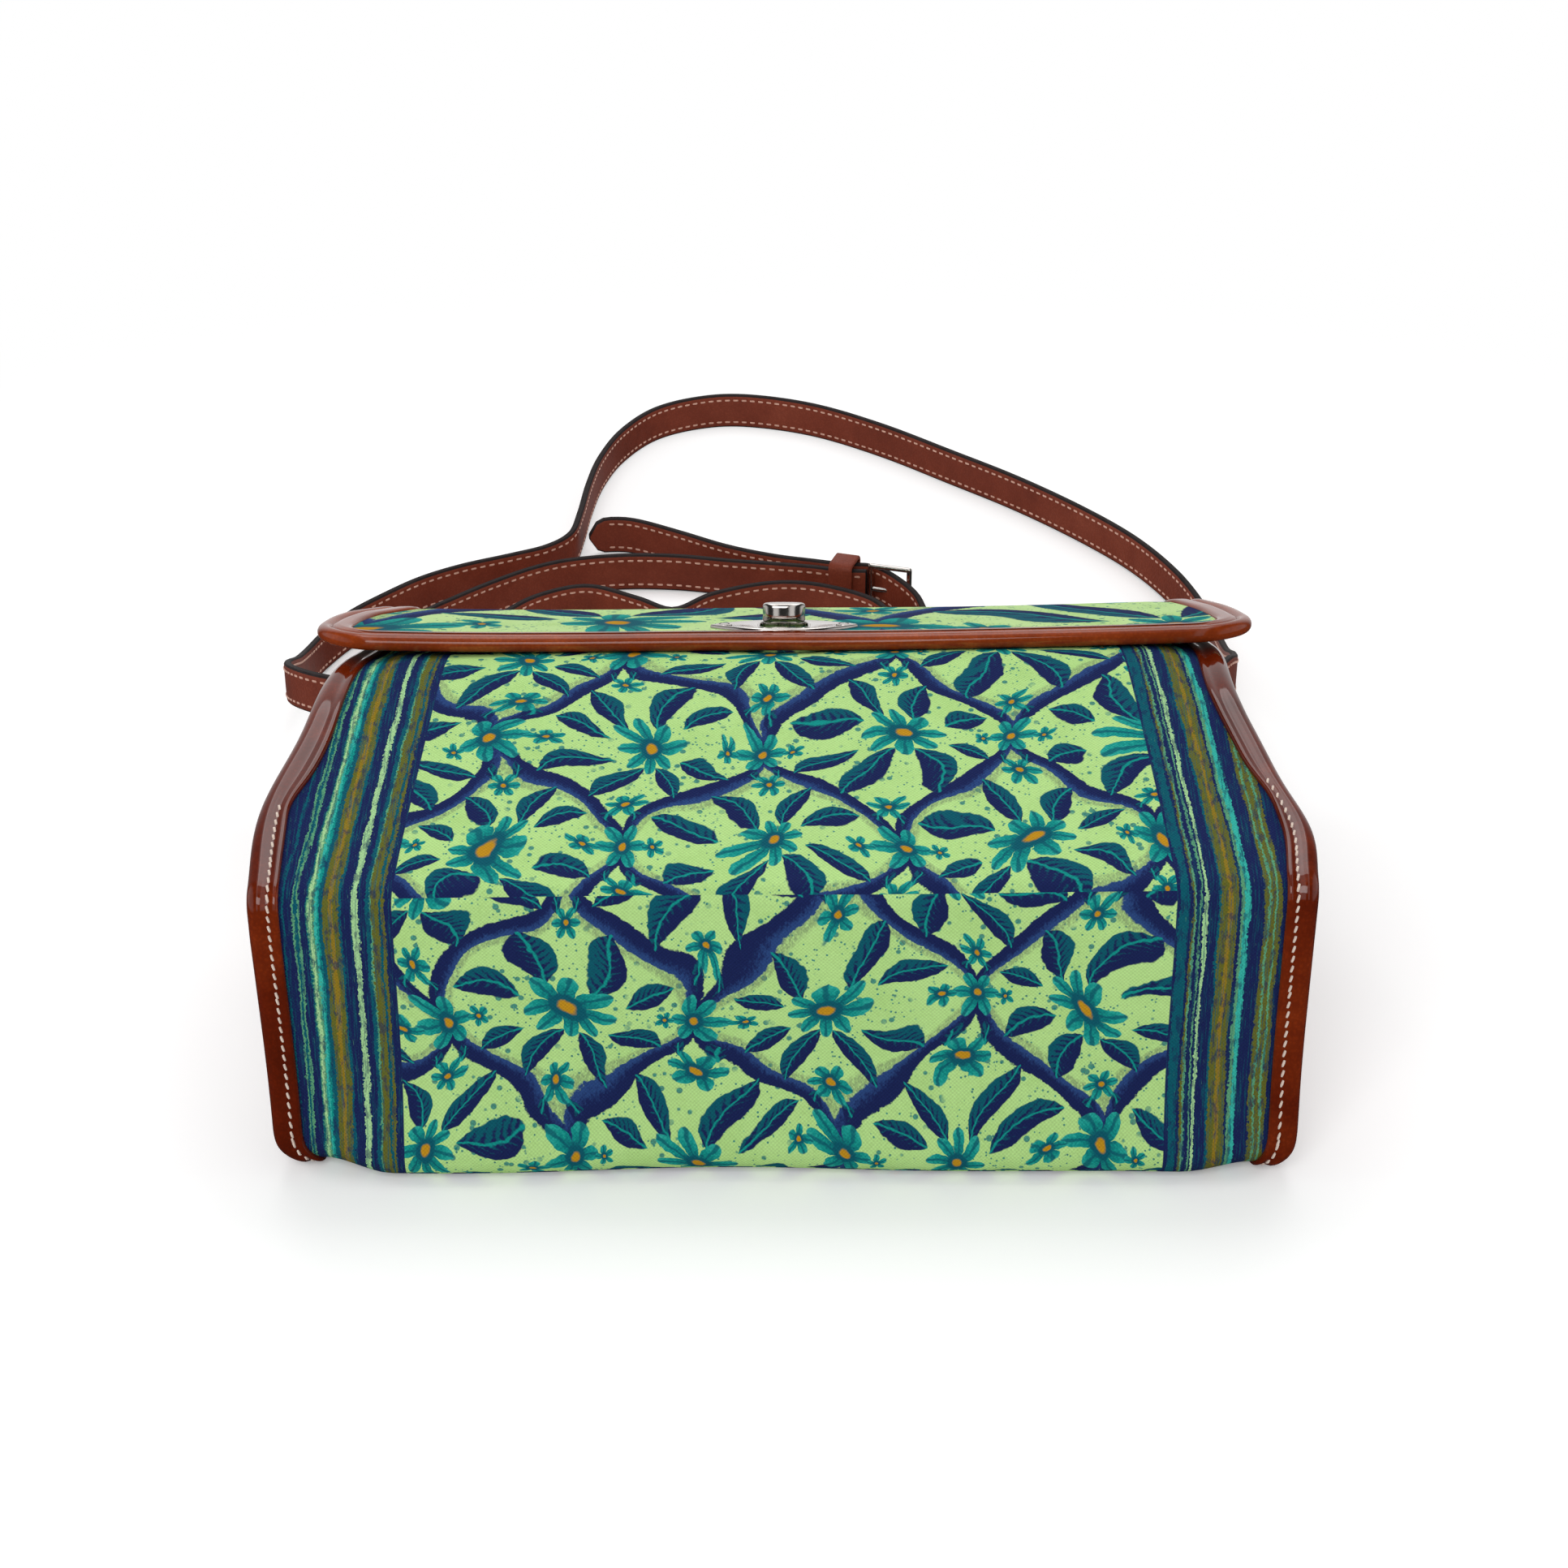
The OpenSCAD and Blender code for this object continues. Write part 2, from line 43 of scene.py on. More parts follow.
# Sizes shared with the part's source
BAG_W, BAG_H, BASE = 340.0, 240.0, 107.5
TAPER, RISE, FALL = 0.098, 12.0, 17.5
BELLY, TOP_RUN, LIFT, LIFT_RUN = 115.0, 35.0, 30.0, 40.0
CANVAS_T, LEATHER_T, FLANGE, EDGE_R, SEAM = 1.4, 1.6, 10.0, 6.0, 0.05
FLAP_EDGE, FLAP_CORNER = 129.7, 24.0
FLAP_T, FLAP_GAP, ROLL_R, TRIM_T, TRIM_W, TRIM_FRONT, BEAD_R = 3.3, 2.0, 2.95, 1.2, 13.0, 9.0, 2.2
LOCK_IN, PLATE_W, PLATE_H, PLATE_T = 22.3, 53.0, 24.0, 1.6
KNOB_W, KNOB_D, KNOB_H, KNOB_GAP, STEM_R = 15.4, 7.0, 7.0, 0.6, 2.5
SLOT_W, SLOT_FRONT, SLOT_BACK = 17.0, 9.5, 4.3
STRAP_W, STRAP_T, PATCH_T = 18.0, 3.0, 2.0

# Shapes of the sewn bag that only the dressed part has, left (-1) and right (1)
# The sides bow out above the crease and draw in under the flap, as amount, place and run along y
BOW_OUT = {-1: (7.4, 43.0, 36.0), 1: (4.8, 28.0, 20.0)}
BOW_IN = {-1: (-1.8, 112.0, 30.0), 1: (4.3, 100.0, 30.0)}
# The bow begins at a height and is full a rise above it
BOW_FROM, BOW_RISE = 20.0, 70.0
# Low down the sides stand out a little and round in at the floor, within these runs along z and y
LOW_OUT, LOW_ROUND, LOW_Z, LOW_Y = {-1: 0.4, 1: 0.9}, {-1: 6.0, 1: 4.0}, 8.0, 30.0
# The left side sits lower
LEAN, LEAN_FROM = 0.044 / 340, 50.0
# The flap as sewn: padded, with nearly straight sides that draw in towards the hinge, and ends that ride up
FLAP_PAD, FLAP_FRONT_W, FLAP_SIDE = 1.4, 340.0, 0.07
DRAWN_FROM, DRAWN_TO, DRAWN, FLAP_REAR = 160.0, 205.0, {-1: 0.0068, 1: 0.0034}, 144.0
FLAP_LIFT, LIFT_FULL, LIFT_END, LIFT_FADE = {-1: 3.0, 1: 1.2}, 165.0, 232.0, 50.0
# The heel: how far the cloth sags, how high that reaches, and how far the leather is pushed out
HEEL_SAG, HEEL_R, HEEL_HIGH = 12.5, 12.0, 28.0
HEEL_OUT, HEEL_LONG = {-1: 4.4, 1: 6.8}, 22.0


def tan_d(a):
    return math.tan(math.radians(a))


FALL_COS, FALL_SIN = math.cos(math.radians(FALL)), math.sin(math.radians(FALL))
FOLD_AT = BAG_H - TOP_RUN
BELLY_Z = BASE + BELLY * tan_d(RISE)
FOLD_Z = BELLY_Z - (FOLD_AT - BELLY) * tan_d(FALL)
# Corners of the side view as y, z and radius: heel, rear bottom, rear edge, fold, belly and crease
SIDE = [(0, 0, HEEL_R), (BAG_H - LIFT_RUN, 0, 60), (BAG_H, LIFT, 6),
        (FOLD_AT, FOLD_Z, 16), (BELLY, BELLY_Z, 100), (0, BASE, 9)]
SAGGED = [(-HEEL_SAG, 0, HEEL_R)] + SIDE[1:]
STEPS = 24


def half_w(y):
    return BAG_W / 2 - TAPER * y


def hump(v):
    """1 at 0, falling smoothly to both sides."""
    return math.exp(-v * v)


def held(v):
    """v, held between 0 and 1."""
    return min(1.0, max(0.0, v))


def ease(v):
    return v * v * (3 - 2 * v)


def side_w(y, z, side):
    """Half width as sewn."""
    high = held((z - BOW_FROM) / BOW_RISE)
    (out, out_at, out_run), (into, into_at, into_run) = BOW_OUT[side], BOW_IN[side]
    bow = out * hump((y - out_at) / out_run) - into * hump((y - into_at) / into_run)
    low = LOW_OUT[side] - LOW_ROUND[side] * hump(z / LOW_Z)
    return half_w(y) + high * bow + (1 - high) * low * hump(y / LOW_Y)


def heel_y(y, z, side):
    """The heel of the leather, pushed out at the floor."""
    return y - HEEL_OUT[side] * hump(y / HEEL_LONG) * hump(z / HEEL_HIGH)


def flap_half(y, side):
    """Half width of the flap as sewn."""
    near = min(max(0.0, y - DRAWN_FROM), DRAWN_TO - DRAWN_FROM)
    half = FLAP_FRONT_W / 2 - FLAP_SIDE * (min(y, DRAWN_TO) - FLAP_EDGE) - DRAWN[side] * near * near
    return half + (FLAP_REAR - half) * max(0.0, y - DRAWN_TO) / (BAG_H - DRAWN_TO)


def flap_lift(x, y):
    """How far the ends of the flap ride up on the leather."""
    return FLAP_LIFT[1 if x > 0 else -1] * held(abs(x) / LIFT_FULL) ** 3 * held((LIFT_END - y) / LIFT_FADE)


def unit(v):
    v = np.asarray(v, float)
    return v / np.linalg.norm(v)


def rounded(corners, d=0.0, steps=STEPS):
    """Rounded outline of the corners, moved in by d, anticlockwise."""
    n = len(corners)
    p = []
    for i in range(n):
        p0, p1, p2 = (np.array(corners[(i + k) % n][:2], float) for k in (-1, 0, 1))
        u, v = unit(p1 - p0), unit(p2 - p1)
        a, b = np.array([-u[1], u[0]]), np.array([-v[1], v[0]])
        p.append(p1 + (a + b) * d / (1 + a @ b))
    out = []
    for i in range(n):
        u, v = unit(p[i - 1] - p[i]), unit(p[(i + 1) % n] - p[i])
        r = max(0.3, corners[i][2] - d)
        half = math.acos(float(u @ v)) / 2
        centre = p[i] + unit(u + v) * r / math.sin(half)
        start = p[i] + u * r / math.tan(half) - centre
        a0, sweep = math.atan2(start[1], start[0]), math.pi - 2 * half
        for k in range(steps + 1):
            a = a0 + sweep * k / steps
            out.append(centre + r * np.array([math.cos(a), math.sin(a)]))
    return np.array(out)


def arc_len(pts):
    return np.concatenate([[0], np.cumsum(np.linalg.norm(np.diff(pts, axis=0), axis=1))])


def at_lengths(pts, s):
    """Points of a polyline at the lengths s."""
    a = arc_len(pts)
    return np.stack([np.interp(s, a, pts[:, k]) for k in range(pts.shape[1])], -1)


def stretch(first, last, d, corners=SIDE):
    """Part of the side outline, moved in by d, between the middles of two corners."""
    o = rounded(corners, d)
    n = len(SIDE) * (STEPS + 1)
    a, b = first * (STEPS + 1) + STEPS // 2, last * (STEPS + 1) + STEPS // 2
    if b < a:
        b += n
    return np.array([o[k % n] for k in range(a, b + 1)])


def normals(pts):
    """Outward normals of an anticlockwise outline's part."""
    t = np.gradient(pts, axis=0)
    t /= np.linalg.norm(t, axis=1)[:, None]
    return np.stack([t[:, 1], -t[:, 0]], -1)


rear, fold = np.array([BAG_H, LIFT]), np.array([FOLD_AT, FOLD_Z])
mouth_dir = unit(fold - rear)
mouth_out = np.array([mouth_dir[1], -mouth_dir[0]])
hinge = rear + (FLAP_GAP + FLAP_T / 2) * mouth_out
MID = (hinge[0] + BEAD_R) / 2
FLAP_TOP = -FLAP_GAP - FLAP_T - FLAP_PAD
ROLL_AT = (-FLAP_GAP + FLAP_TOP - TRIM_T) / 2
LOCK_Y = FLAP_EDGE + LOCK_IN
LOCK_Z = BELLY_Z - (LOCK_Y - BELLY) * tan_d(FALL) - FLAP_TOP / FALL_COS


def P(p):
    """Bag millimetres to row metres, with the lean of the bag."""
    lean = 1 + LEAN * p[0] ** 3 / (p[0] ** 2 + LEAN_FROM ** 2)
    return (p[0] / 1000, (p[1] - MID) / 1000, p[2] * lean / 1000)


def at_lock(x, y, z):
    """A point of the lock, which lies on the slope of the flap."""
    return (x, LOCK_Y + y * FALL_COS + z * FALL_SIN, LOCK_Z - y * FALL_SIN + z * FALL_COS)


# Camera, fitted to the photo
CAM_AT, CAM_DOWN, CAM_LENS, CAM_SENSOR = (0, -797, 585), 28.8, 67.08, 36.0
cam = bpy.data.objects.new("camera", bpy.data.cameras.new("camera"))
scene.collection.objects.link(cam)
cam.data.lens, cam.data.sensor_width, cam.data.sensor_height = CAM_LENS, CAM_SENSOR, CAM_SENSOR
cam.data.clip_end = 50
cam.location = P(CAM_AT)
cam.rotation_euler = (math.radians(90 - CAM_DOWN), 0, 0)
scene.camera = cam


# Node helpers
class Nodes:
    """Short names for making the nodes of a tree."""

    def __init__(self, tree):
        self.t = tree

    def put(self, socket, v):
        if isinstance(v, bpy.types.NodeSocket):
            self.t.links.new(v, socket)
        elif isinstance(v, (tuple, list)) and len(v) == 3 and socket.type == "RGBA":
            socket.default_value = (*v, 1)
        else:
            socket.default_value = v

    def node(self, kind, **sets):
        n = self.t.nodes.new(kind)
        for k, v in sets.items():
            setattr(n, k, v)
        return n

    def m(self, op, *values):
        n = self.node("ShaderNodeMath", operation=op)
        for i, v in enumerate(values):
            self.put(n.inputs[i], v)
        return n.outputs[0]

    add = partialmethod(m, "ADD")
    sub = partialmethod(m, "SUBTRACT")
    mul = partialmethod(m, "MULTIPLY")
    madd = partialmethod(m, "MULTIPLY_ADD")
    div = partialmethod(m, "DIVIDE")
    most = partialmethod(m, "MAXIMUM")
    size = partialmethod(m, "ABSOLUTE")
    root = partialmethod(m, "SQRT")
    sin = partialmethod(m, "SINE")
    cos = partialmethod(m, "COSINE")

    def mix(self, f, a, b, kind="RGBA", first=6, out=2):
        n = self.node("ShaderNodeMix", data_type=kind)
        for i, v in ((0, f), (first, a), (first + 1, b)):
            self.put(n.inputs[i], v)
        return n.outputs[out]

    def lerp(self, f, a, b):
        return self.mix(f, a, b, "FLOAT", 2, 0)

    def step(self, v, edge, soft):
        """0 below the edge and 1 above it, softly."""
        n = self.node("ShaderNodeMapRange", interpolation_type="SMOOTHSTEP")
        for i, x in enumerate((v, edge - soft, edge + soft)):
            self.put(n.inputs[i], x)
        return n.outputs[0]

    def uv(self):
        n = self.node("ShaderNodeSeparateXYZ")
        self.t.links.new(self.node("ShaderNodeUVMap", uv_map="UVMap").outputs[0], n.inputs[0])
        return self.mul(n.outputs[0], 1000), self.mul(n.outputs[1], 1000)

    def vec(self, x, y, z=0.0):
        n = self.node("ShaderNodeCombineXYZ")
        for i, v in enumerate((x, y, z)):
            self.put(n.inputs[i], v)
        return n.outputs[0]

    def obj(self):
        return self.node("ShaderNodeTexCoord").outputs["Object"]

    def noise(self, vec, scale, detail=3.0, rough=0.5):
        n = self.node("ShaderNodeTexNoise")
        self.put(n.inputs["Vector"], vec)
        n.inputs["Scale"].default_value = scale
        n.inputs["Detail"].default_value = detail
        n.inputs["Roughness"].default_value = rough
        return n.outputs["Fac"]

    def cells(self, vec, scale, feature="F1", out="Distance", rand=1.0):
        n = self.node("ShaderNodeTexVoronoi", feature=feature)
        self.put(n.inputs["Vector"], vec)
        n.inputs["Scale"].default_value = scale
        n.inputs["Randomness"].default_value = rand
        return n.outputs[out]

    def ramp(self, fac, stops, kind="LINEAR"):
        n = self.node("ShaderNodeValToRGB")
        n.color_ramp.interpolation = kind
        e = n.color_ramp.elements
        while len(e) < len(stops):
            e.new(0.5)
        for k, (pos, col) in zip(e, stops):
            k.position = pos
            k.color = (*col, 1)
        self.put(n.inputs[0], fac)
        return n.outputs[0]


class Tree(Nodes):
    """A material with one principled shader."""

    def __init__(self, name):
        self.mat = bpy.data.materials.new(name)
        self.mat.use_nodes = True
        super().__init__(self.mat.node_tree)
        self.t.nodes.clear()
        self.out = self.node("ShaderNodeOutputMaterial")
        self.bsdf = self.node("ShaderNodeBsdfPrincipled")
        self.put(self.out.inputs[0], self.bsdf.outputs[0])

    def bump(self, h, strength, dist):
        n = self.node("ShaderNodeBump")
        n.inputs["Strength"].default_value = strength
        n.inputs["Distance"].default_value = dist
        self.put(n.inputs["Height"], h)
        self.t.links.new(n.outputs[0], self.bsdf.inputs["Normal"])

    def done(self, **sockets):
        for k, v in sockets.items():
            self.put(self.bsdf.inputs[k.replace("_", " ")], v)
        return self.mat


def srgb(r, g, b):
    return tuple((c / 255 / 12.92) if c <= 10 else ((c / 255 + 0.055) / 1.055) ** 2.4 for c in (r, g, b))


LIME, LIME_WORN = srgb(184, 224, 142), srgb(166, 208, 122)
NAVY, DEEP, TEAL, AQUA = srgb(25, 36, 84), srgb(11, 88, 104), srgb(17, 144, 136), srgb(54, 178, 164)
OCHRE, OLIVE, SAGE, PALE = srgb(190, 140, 30), srgb(100, 102, 38), srgb(92, 158, 118), srgb(164, 210, 150)
# The flap's ground is a lighter lime than the front's: painted light, for the light that the upward-facing
# flap catches
SKETCH, LIME_PAINTED_LIGHT = srgb(122, 142, 104), srgb(198, 229, 160)
STEEL, GOLD = srgb(42, 70, 124), srgb(140, 116, 32)

# The print: an ogee trellis with a rosette in each cell, in millimetres of the small scale
CELL_W, CELL_H = 86.0, 106.0
# Leaves as place, turn in degrees, length and half width, each with a mirrored twin
LEAVES = [(9.5, 17.5, 60, 24, 5.2), (22, 9, 23, 21, 4.7), (10, -19, -58, 24, 5.2),
          (22.5, -10.5, -25, 21, 4.6), (5.5, 40, 74, 12, 2.7), (5.5, -42, -74, 12, 2.7)]
# Flowers as place, radius and number of petals
FLOWERS = [(0, -1, 12.4, 8), (CELL_W / 2, 0, 10.4, 6), (0, CELL_H / 2, 10.4, 6), (0, -CELL_H / 2, 10.4, 6),
           (0, 31, 6.8, 6), (0, -33, 6.4, 6), (29.5, -1, 4.4, 5)]
# Stripes beside the field, left and right, as start in millimetres out from it, and colour
LEFT_STRIPES = [(0, NAVY), (2.4, OLIVE), (3.4, DEEP), (4.2, OLIVE), (6.8, SAGE), (7.3, DEEP), (8.5, NAVY),
                (10.9, PALE), (12.7, NAVY), (16.2, DEEP), (16.9, OLIVE), (18.8, GOLD), (20.2, OLIVE),
                (21.9, DEEP), (23.4, TEAL), (24.2, AQUA), (24.9, SAGE), (25.6, PALE), (26.5, SAGE),
                (26.9, DEEP), (27.5, NAVY), (29.8, SAGE), (30.5, DEEP), (31.3, SAGE), (31.9, NAVY),
                (34.6, DEEP), (35.4, NAVY)]
RIGHT_STRIPES = [(0, NAVY), (0.8, DEEP), (4.0, NAVY), (5.0, OLIVE), (5.6, SAGE), (6.2, NAVY), (7.4, SAGE),
                 (8.0, NAVY), (8.8, PALE), (10.0, NAVY), (13.4, DEEP), (14.0, OLIVE), (16.4, GOLD),
                 (17.6, OLIVE), (19.6, NAVY), (20.6, SAGE), (21.6, AQUA), (23.3, NAVY), (28.0, OLIVE),
                 (29.2, SAGE), (29.8, OLIVE), (31.5, SAGE), (32.2, OLIVE), (33.6, NAVY)]
STRIPES_W = 40.0
FIELD, FIELD_TAPER = 125.5, 0.055
WEAVE_PITCH, LINING_PITCH = 1.3, 0.9
# Drawn by hand: slow and quick wobble of the print as amount and scale
WOBBLE, WOBBLE_SCALE, HAND, HAND_SCALE = 34.0, 0.022, 1.6, 0.3
# Half width of the trellis band, how much it varies along its way and by the brush, and its shadow's place
BAND_HALF, BAND_VARY, BAND_BRUSH, BAND_SHADOW = 2.9, 0.9, 1.6, 2.4
# Bend of a leaf, closeness of its ribs, and softness of a painted edge
LEAF_BEND, LEAF_RIBS, PAINT_EDGE = 0.012, 2.4, 0.22


def weave(t, x, y, pitch):
    """Height of a plain weave, 0 to 1."""
    k = 2 * math.pi / pitch
    a = t.sin(t.mul(x, k))
    b = t.sin(t.mul(y, k))
    return t.madd(t.mul(a, b), 0.5, 0.5)


def wrapped(t, v, size, shift):
    """The value within one repeat, with 0 in the middle."""
    return t.sub(t.m("FLOORED_MODULO", t.add(v, size / 2 + shift), size), size / 2)


def leaf_on(t, colour, x, y, leaf, brush):
    """A bent leaf with a pale midrib and side ribs, over the colour."""
    cx, cy, turn, ln, hw = leaf
    c, s = math.cos(math.radians(turn)), math.sin(math.radians(turn))
    ax, ay = t.sub(x, cx), t.sub(y, cy)
    u = t.madd(ay, s, t.mul(ax, c))
    v = t.madd(ay, c, t.mul(ax, -s))
    v = t.madd(t.mul(u, u), LEAF_BEND, v)
    e = t.mul(u, 2 / ln)
    edge = t.mul(t.sub(1.0, t.mul(e, e)), hw)
    off = t.size(v)
    mask = t.step(t.sub(edge, off), 0.2, PAINT_EDGE)
    ribs = t.sin(t.mul(t.sub(u, off), LEAF_RIBS))
    tone = t.madd(ribs, 0.2, t.madd(v, 0.1, brush))
    fill = t.mix(t.step(tone, 0.58, 0.16), NAVY, DEEP)
    fill = t.mix(t.sub(1.0, t.step(off, 0.32, 0.18)), fill, TEAL)
    return t.mix(mask, colour, fill)


def flower_on(t, colour, x, y, flower, brush):
    """A flower with shaded petals and an ochre eye, over the colour."""
    cx, cy, r, petals = flower
    ax, ay = t.sub(x, cx), t.sub(y, cy)
    rad = t.root(t.madd(ax, ax, t.mul(ay, ay)))
    wave = t.size(t.cos(t.mul(t.m("ARCTAN2", ay, ax), petals / 2)))
    edge = t.madd(t.m("POWER", wave, 0.75), r * 0.66, r * 0.36)
    mask = t.step(t.sub(edge, rad), 0.0, PAINT_EDGE)
    share = t.mul(rad, 1 / r)
    tone = t.madd(share, 0.62, t.madd(brush, 0.9, -0.36))
    petal = t.ramp(tone, [(0.0, NAVY), (0.2, DEEP), (0.5, TEAL), (0.85, AQUA)])
    petal = t.mix(t.mul(t.step(wave, 0.975, 0.02), 0.8), petal, DEEP)
    petal = t.mix(t.sub(1.0, t.step(share, 0.36, 0.05)), petal, DEEP)
    petal = t.mix(t.sub(1.0, t.step(share, 0.17, 0.04)), petal, OCHRE)
    return t.mix(mask, colour, petal)


def stripes_on(t, colour, x, y, taper):
    """Painted stripes beyond the field: wandering edges, dry streaks and blotches along them."""
    d = t.sub(t.size(x), t.madd(y, -taper, FIELD))
    slow = t.noise(t.vec(t.mul(x, 0.35), t.mul(y, 0.05)), 1.0, 2.0)
    rough = t.noise(t.vec(t.mul(x, 0.8), t.mul(y, 0.75)), 1.0, 3.0, 0.65)
    edge = t.madd(t.sub(slow, 0.5), 2.4, d)
    edge = t.div(t.madd(t.sub(rough, 0.5), 2.2, edge), STRIPES_W)
    left, right = (t.ramp(edge, [(p / STRIPES_W, c) for p, c in bands], "CONSTANT")
                   for bands in (LEFT_STRIPES, RIGHT_STRIPES))
    stripe = t.mix(t.m("GREATER_THAN", x, 0.0), left, right)
    streak = t.noise(t.vec(t.mul(x, 1.5), t.mul(y, 0.06)), 1.0, 4.0, 0.7)
    stripe = t.mix(t.mul(t.step(streak, 0.56, 0.05), 0.6), stripe, DEEP)
    blot = t.noise(t.vec(t.mul(x, 0.5), t.mul(y, 0.16)), 1.0, 4.0, 0.7)
    stripe = t.mix(t.mul(t.step(blot, 0.56, 0.05), 0.6), stripe, NAVY)
    dry = t.noise(t.vec(t.mul(x, 2.6), t.mul(y, 0.2)), 1.0, 3.0, 0.75)
    stripe = t.mix(t.mul(t.step(dry, 0.66, 0.03), 0.5), stripe, SAGE)
    return t.mix(t.step(d, 0.0, 0.15), colour, stripe)


def printed(name, scale, dx, dy, taper=None, ground=LIME, leaves=LEAVES):
    """Printed canvas: a plain trellis of flowers and leaves, and striped sides where a taper is given."""
    t = Tree(name)
    x, y = t.uv()
    flat = t.vec(x, y)
    drawn = []
    for v, move, slow_at, quick_at in ((x, dx, flat, flat), (y, dy, t.vec(y, x, 7.0), t.vec(y, x, 3.0))):
        slow = t.noise(slow_at, WOBBLE_SCALE / scale, 1.0)
        quick = t.noise(quick_at, HAND_SCALE, 2.0)
        v = t.div(t.madd(quick, HAND, t.add(v, move)), scale)
        drawn.append(t.madd(slow, WOBBLE, v))
    px, py = drawn
    ax, ay = wrapped(t, px, CELL_W, 0.0), wrapped(t, py, CELL_H, 0.0)
    bx, by = wrapped(t, px, CELL_W, CELL_W / 2), wrapped(t, py, CELL_H, CELL_H / 2)
    turn = t.mul(ay, 2 * math.pi / CELL_H)
    rim = t.madd(t.cos(turn), CELL_W / 4, CELL_W / 4)
    inside = t.m("GREATER_THAN", rim, t.size(ax))
    fx = t.size(t.lerp(inside, bx, ax))
    fy = t.lerp(inside, by, ay)
    brush = t.noise(flat, 0.9, 4.0, 0.65)
    fine = t.noise(flat, 2.2, 3.0, 0.7)
    cloud = t.noise(flat, 0.05, 3.0)
    worn = t.mul(t.step(t.madd(brush, 0.5, t.mul(cloud, 0.6)), 0.58, 0.12), 0.5)
    colour = t.mix(worn, ground, LIME_WORN)
    # Splashes of the blues, large and small
    for size, reach, gate, seed in ((0.21, 0.22, 0.46, 0.0), (0.5, 0.2, 0.43, 40.0)):
        dots = t.cells(t.vec(x, y, seed), size)
        on = t.step(t.noise(t.vec(x, y, seed), 0.05, 2.0), gate, 0.05)
        speck = t.mul(t.sub(1.0, t.step(dots, reach, 0.035)), on)
        colour = t.mix(t.mul(speck, 0.85), colour, t.mix(t.step(fine, 0.5, 0.05), DEEP, TEAL))
    # Trellis band, with a sketched shadow beside it
    lean = t.mul(t.sin(turn), math.pi / 2 * CELL_W / CELL_H)
    slope = t.root(t.madd(lean, lean, 1.0))
    gap = t.div(t.sub(t.size(ax), rim), slope)
    half = t.madd(t.cos(t.mul(turn, 2.0)), -BAND_VARY, BAND_HALF)
    half = t.madd(t.sub(brush, 0.5), BAND_BRUSH, half)
    beside = t.size(t.sub(gap, BAND_SHADOW))
    hatch = t.noise(t.vec(t.mul(x, 1.2), t.mul(y, 0.5)), 1.0, 4.0, 0.75)
    shade = t.mul(t.step(t.sub(half, beside), -0.6, 0.9), t.step(hatch, 0.46, 0.12))
    colour = t.mix(t.mul(shade, 0.7), colour, SKETCH)
    band = t.step(t.sub(half, t.size(gap)), 0.0, 0.25)
    tone = t.madd(gap, 0.09, t.madd(hatch, 0.7, t.mul(brush, 0.3)))
    colour = t.mix(band, colour, t.mix(t.step(tone, 0.62, 0.14), NAVY, STEEL))
    for leaf in leaves:
        colour = leaf_on(t, colour, fx, fy, leaf, brush)
    for flower in FLOWERS:
        colour = flower_on(t, colour, fx, fy, flower, brush)
    if taper is not None:
        colour = stripes_on(t, colour, x, y, taper)
    # Painted shade: the colour is darker in the weave's low threads, and it is streaked along the slubs
    w = weave(t, x, y, WEAVE_PITCH)
    slub = t.noise(t.vec(t.mul(x, 0.5), t.mul(y, 4.0)), 1.0, 2.0)
    weave_shade_and_slubs = t.madd(w, 0.24, t.madd(slub, 0.14, 0.8))
    shaded = t.node("ShaderNodeVectorMath", operation="SCALE")
    t.put(shaded.inputs[0], colour)
    t.put(shaded.inputs["Scale"], weave_shade_and_slubs)
    t.bump(t.madd(slub, 0.6, w), 0.6, 0.0003)
    return t.done(Base_Color=shaded.outputs[0], Roughness=0.75, Specular_IOR_Level=0.06)


def lining():
    t = Tree("lining_cloth")
    x, y = t.uv()
    w = weave(t, x, y, LINING_PITCH)
    n = t.noise(t.vec(x, y), 0.06, 3.0)
    t.bump(w, 0.3, 0.0002)
    # Clouded brown, with painted shade: darker in the weave's low threads
    tone = t.madd(n, 0.6, t.mul(w, 0.3))
    return t.done(Base_Color=t.mix(tone, srgb(58, 46, 38), srgb(104, 86, 70)), Roughness=0.8,
                  Sheen_Weight=0.2)


def leather(name, dark, mid, light, rough, spec, coat, coat_rough, coat_ior, grain, depth):
    """Leather with clouded colour, pores and fine creases, and a coat of polish."""
    t = Tree(name)
    o = t.obj()
    big = t.noise(o, 9.0, 3.0)
    blot = t.noise(o, 60.0, 4.0, 0.6)
    pores = t.cells(o, grain, "SMOOTH_F1")
    crease = t.noise(o, grain * 0.45, 4.0, 0.65)
    tone = t.madd(blot, 0.55, t.madd(big, 0.7, -0.14))
    base = t.ramp(tone, [(0.15, dark), (0.5, mid), (0.9, light)])
    base = t.mix(t.mul(t.step(pores, 0.32, 0.2), 0.28), base, dark)
    height = t.add(t.mul(pores, -0.8), t.mul(crease, 0.9))
    t.bump(height, 0.35, depth)
    r = t.madd(blot, 0.16, t.madd(pores, 0.1, rough))
    return t.done(Base_Color=base, Roughness=r, Specular_IOR_Level=spec, Coat_Weight=coat,
                  Coat_Roughness=coat_rough, Coat_IOR=coat_ior)


def paint_edge():
    t = Tree("edge_paint")
    o = t.obj()
    n = t.noise(o, 160.0, 4.0, 0.65)
    t.bump(n, 0.3, 0.0005)
    return t.done(Base_Color=t.mix(n, srgb(20, 17, 18), srgb(58, 50, 50)),
                  Roughness=t.madd(n, 0.2, 0.6), Specular_IOR_Level=0.1)


def thread(name, a, b):
    t = Tree(name)
    o = t.obj()
    n = t.noise(o, 400.0, 3.0)
    w = t.noise(o, 2200.0, 1.0)
    t.bump(w, 0.5, 0.0003)
    return t.done(Base_Color=t.mix(n, a, b), Roughness=0.7, Sheen_Weight=0.25)


